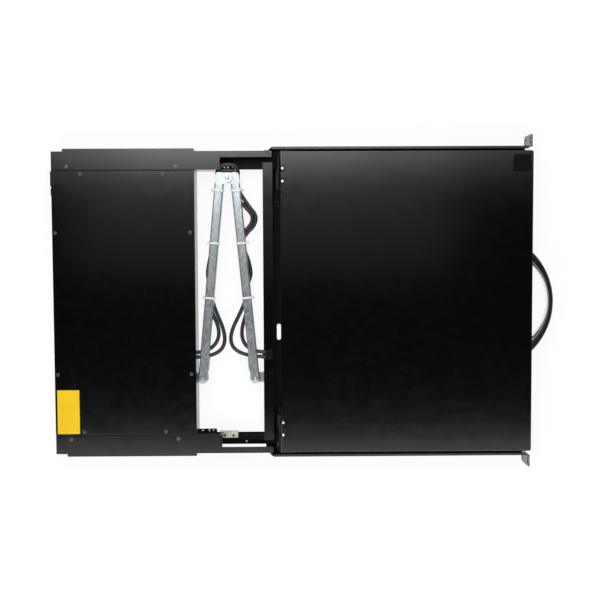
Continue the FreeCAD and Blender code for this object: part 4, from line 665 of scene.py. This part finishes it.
def tie(along, hangs):
    """A nylon cable tie: band, ratchet head on the outer side and the cut end of its tail.

    A tie that hangs goes round the low leads as well as the channel."""
    low = CABLE_LOW - CABLE_R - 0.3 if hangs else ARM_LOW
    wide, thick = 1.35, 1.1
    out = ARM_HALF + thick
    band = block(along - wide, along + wide, -out, out, low - thick, ARM_TOP + thick)
    choose(band, "EDGE", lambda middle, run: abs(run.x) > 1)
    soften(2.0, 4)
    room = block(along - 5, along + 5, -ARM_HALF, ARM_HALF, low, ARM_TOP)
    choose(room, "EDGE", lambda middle, run: abs(run.x) > 1)
    soften(1.2, 3)
    cut(band, room)
    head = block(along - 2.3, along + 2.3, out - 0.3, out + 3.0, ARM_TOP - 6.6, ARM_TOP - 1.6)
    edges_softened(head, 0.5)
    cut(head, block(along - 1.5, along + 1.5, out + 0.6, out + 2.0, ARM_TOP - 8, ARM_TOP))
    tail = block(along - 1.2, along + 1.2, out + 0.8, out + 1.8, ARM_TOP - 8.4, ARM_TOP + 0.9)
    unite(band, head)
    unite(band, tail)
    return band


def ties():
    """Three ties on each arm; all but the rear arm's last one hang down round the low leads."""
    for front, body in ((False, "arm_rear"), (True, "arm_front")):
        bands = join([tie(along, hangs) for along, hangs in zip(TIES, (True, True, front))])
        carry(bands, arm_frame(front))
        done(bands, f"{body}_cable_ties", "nylon_white", body, node=f"{body}_ties")


# ---------------------------------------------------------------- sheet metal
def top_cover():
    """The switch's flat cover, with a flat black strip sunk in each seam where its sides fold down: painted
    shade in the seams.
    """
    side = BOX_OUT - BOX_SHEET
    plate = block(-side, side, BOX_FRONT, BOX_REAR, TOP - BOX_SHEET, TOP)
    choose(plate, "EDGE", lambda middle, run: abs(run.z) > 1)
    soften(1.0, 3)
    edges_softened(plate, 0.25)
    done(plate, "switch_cover_plate", "powder_black", "frame", node="switch_cover", smooth=15)
    # flat black strips sunk beside both edges of the cover: painted shade in the seams
    seam_shade_strips = [block(x, x + BOX_SHEET, BOX_FRONT + 0.2, BOX_REAR - 0.2, TOP - 1.3, TOP - 0.5)
             for x in (-BOX_OUT, side)]
    done(join(seam_shade_strips), "switch_cover_folds_painted_shade", "dip_coat", "frame")


def inner_plates():
    """Flat black plates that close the tray behind the keyboard and the sides under the slides: painted shade
    in these gaps.
    """
    tray_half = 203.7
    # painted shade: a flat black plate in the gap behind the tray
    wall = block(-tray_half, tray_half, 370.9, 371.8, -18.8, 1.0)
    done(wall, "tray_rear_shade_plate", "dip_coat", "drawer")
    # painted shade: flat black plates under the ends of the slides
    strips = [block(*across, 352.0, 384.0, BASE + 0.2, BASE + 1.3)
              for across in ((-223.4, -209.4), (209.4, 223.4))]
    done(join(strips), "slide_end_shade_plates", "dip_coat", "frame")


# ---------------------------------------------------------------- screws
def screw(radius, proud, recess):
    """A round-headed screw with a cross recess, standing on z = 0."""
    head = domed(radius, 0, 0, -0.8, proud, min(proud * 0.9, radius * 0.5))
    arm_half = recess * 0.24
    for wide, deep in ((recess, arm_half), (arm_half, recess)):
        cut(head, block(-wide, wide, -deep, deep, proud - 0.75, proud + 1))
    return head


def screws(model, places):
    """Copies of one screw, standing on the places, as one piece."""
    heads = [copy_of(model, Matrix.Translation(metres(place))) for place in places]
    bpy.data.objects.remove(model)
    return join(heads)


def cover_screws():
    """Eight screws round the cover, and four larger ones that hold the rear brackets."""
    side, inner, bracket = 186.1, 102.3, 197.2
    places = [(x, y, TOP) for x in (-side, side) for y in (BOX_FRONT + 45, BOX_REAR - 41.5)]
    places += [(x, y, TOP) for x in (-inner, inner) for y in (BOX_FRONT + 7, BOX_REAR - 4.5)]
    done(screws(screw(2.6, 0.7, 1.5), places), "cover_screws", "screw_black", "frame", node="box_screws")
    places = [(x, y, TOP - 1) for x in (-bracket, bracket) for y in (BOX_FRONT + 27, BOX_REAR - 22)]
    done(screws(screw(3.0, 0.8, 1.7), places), "bracket_screws", "screw_black", "frame")


def lid_screws():
    """Four yellow screws along the lid's rear edge, each in a flat black ring: painted shade in its
    countersink.
    """
    places = [(193.5, 357.0, TOP), (175.2, 357.0, TOP), (-174.2, 357.7, TOP), (-192.2, 357.8, TOP)]
    done(screws(screw(2.1, 1.0, 1.2), places), "lid_screw_heads", "screw_gold", "lid", node="lid_screws")
    # flat black rings round the heads: painted shade in the countersinks
    shade_rings = []
    for x, y, z in places:
        shade_ring = domed(3.9, x, y, z - 0.3, z + 0.2, 0.15)
        cut(shade_ring, bar(2.2, x, y, z - 1, z + 1, 32))
        shade_rings.append(shade_ring)
    done(join(shade_rings), "lid_screw_shade_rings", "dip_coat", "lid")


def bay_ledge_and_wall_shade():
    """A narrow black ledge along the inner face of the left rear bracket, with a flat black skin up that
    face: painted shade on the wall.
    """
    low = LEDGE_TOP - LEDGE_SHEET
    ledge = block(-BAY_SIDE, -BAY_SIDE + 5.6, LEDGE_FRONT, BOX_FRONT, low, LEDGE_TOP)
    # a thin flat black skin up the bracket's inner face: painted shade on the wall
    unite(ledge, block(-BAY_SIDE, -BAY_SIDE + 0.3, LEDGE_FRONT, BOX_FRONT, low, TOP - 3))
    done(ledge, "bay_ledge_and_wall_shade", "dip_coat", "frame")


def bay_screws():
    """Pale pan heads inside the bay: on the left ledge and on both drawer arms."""
    places = [(-BAY_SIDE + 3.0, y, LEDGE_TOP) for y in (461.0, 467.0, 476.5)]
    done(screws(screw(1.7, 1.1, 0.9), places), "bay_screws", "screw_white", "frame")
    places = [(-205.3, 412.0, 0.0), (197.2, 447.5, 0.0), (196.9, 441.5, 0.0), (196.9, 436.0, 0.0),
              (197.4, 429.5, 0.0)]
    done(screws(screw(1.6, 0.9, 0.7), places), "drawer_arm_screws", "screw_white", "drawer")


# ---------------------------------------------------------------- films
def film(name, finish_name, x0, x1, y0, y1, body, corner):
    """A thin film stuck on a top face, with rounded corners."""
    piece = block(x0, x1, y0, y1, TOP - 0.05, TOP + 0.12)
    choose(piece, "EDGE", lambda middle, run: abs(run.z) > 0.1 and abs(run.x) + abs(run.y) < 0.01)
    soften(corner, 4)
    done(piece, name, finish_name, body)


def films():
    """A yellow film on the switch box and a black one on a front corner of the lid."""
    film("plain_yellow_film", "label_yellow", -189, -125, 653, 685, "frame", 0.8)
    film("plain_dark_film", "label_black", 187.5, 212.5, 0, 25.5, "lid", 1.2)


# ---------------------------------------------------------------- rear ports
def jack_contacts():
    """Eight sprung gold wires over the mouth of each network jack."""
    jacks, first, jack_pitch, wire_pitch = 8, -165.0, 14.6, 1.02
    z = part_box("port_jacks")[0][2] / MM
    wire = block(-0.2, 0.2, BOX_REAR - 11, BOX_REAR - 3, z + 9.2, z + 9.6)
    choose(wire, "VERT", lambda place: place.y > BOX_REAR - 4)
    bpy.ops.transform.translate(value=(0, 0, -2.6 * MM))
    bpy.ops.object.mode_set(mode="OBJECT")
    wires = [copy_of(wire, Matrix.Translation(((first + i * jack_pitch + (n - 3.5) * wire_pitch) * MM, 0, 0)))
             for i in range(jacks) for n in range(8)]
    bpy.data.objects.remove(wire)
    done(join(wires), "jack_contacts", "contact_gold", "frame")


def d_port_pins():
    """Gold pins of the two D-shaped ports: three rows of five, and five over four."""
    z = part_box("console_ports")[0][2] / MM + 6.2
    fifteen_x, nine_x = -11.0, 30.0
    pin = domed(0.5, 0, 0, 0, 5.2, 0.35)
    pin.data.transform(Matrix.Rotation(math.radians(-90), 4, "X"))
    places = [(fifteen_x + (n - 2) * 2.2 + row * 0.6, BOX_REAR + 0.3, z + (1 - row) * 2.1)
              for row in range(3) for n in range(5)]
    places += [(nine_x + (n - 2) * 2.6 + (1.3 if row else 0), BOX_REAR + 0.3, z + 1.3 - 2.7 * row)
               for row in range(2) for n in range(5 - row)]
    pins = [copy_of(pin, Matrix.Translation(metres(place))) for place in places]
    bpy.data.objects.remove(pin)
    done(join(pins), "d_port_pins", "contact_gold", "frame")


def usb_tongues():
    """The plastic tongue in each mouth of the USB pair."""
    middle, half = 75.0, 5.4
    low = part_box("port_jacks")[0][2] / MM
    tongues = []
    for sill in (low + 1.6, low + 8.8):
        tongue = block(middle - half, middle + half, BOX_REAR - 11.5, BOX_REAR - 0.6, sill + 3.2, sill + 4.9)
        edges_softened(tongue, 0.3)
        tongues.append(tongue)
    done(join(tongues), "usb_tongues", "connector_black", "frame")


def inlet_blades():
    """The mains inlet's three blades: earth upright, the other two flat."""
    blades = []
    for x, z, half_x, half_z in ((183.0, -1.0, 1.1, 3.2), (177.0, 6.5, 3.2, 1.1), (177.0, -8.5, 3.2, 1.1)):
        blade = block(x - half_x, x + half_x, BOX_REAR - 13.5, BOX_REAR - 1.5, z - half_z, z + half_z)
        edges_softened(blade, 0.4)
        blades.append(blade)
    done(join(blades), "inlet_blades", "nickel", "frame")


# ---------------------------------------------------------------- CAD nodes that keep their own mesh
OWN_FINISH = {
    "rail_clip": "cream_zinc", "lower_handle": "strap_bright", "switch_front_wall": "wall_zinc",
    "hinge_brackets": "hinge_steel", "hinge_leaves": "hinge_steel",
    # The drawer's two sides take the flat black as painted shade, for the shadow that the bracket walls cast
    # on them.
    "drawer_side_left": "dip_coat", "drawer_side_right": "dip_coat", "tray_floor": "dip_coat",
    "strain_relief": "dip_coat",
    "slides_outer": "slide_steel", "slides_middle": "slide_steel", "slides_inner": "slide_steel",
    "arm_bracket_rear": "arm_zinc", "arm_bracket_front": "arm_zinc",
}


def paint_cad_nodes():
    """Every CAD node takes the finish of its slot in the record, or its own from OWN_FINISH."""
    for row in frame["record"]["subparts"]:
        node = frame["nodes"][row["node"]]
        paint = PAINT[OWN_FINISH.get(row["node"], row["material_slot"])]
        for held in node.material_slots:
            held.material = paint


# ---------------------------------------------------------------- the making
camera()
lights()
floor()
room()
PAINT = materials()
cables()
arms()
rivets()
ties()
top_cover()
inner_plates()
cover_screws()
lid_screws()
bay_ledge_and_wall_shade()
bay_screws()
films()
jack_contacts()
d_port_pins()
usb_tongues()
inlet_blades()
paint_cad_nodes()
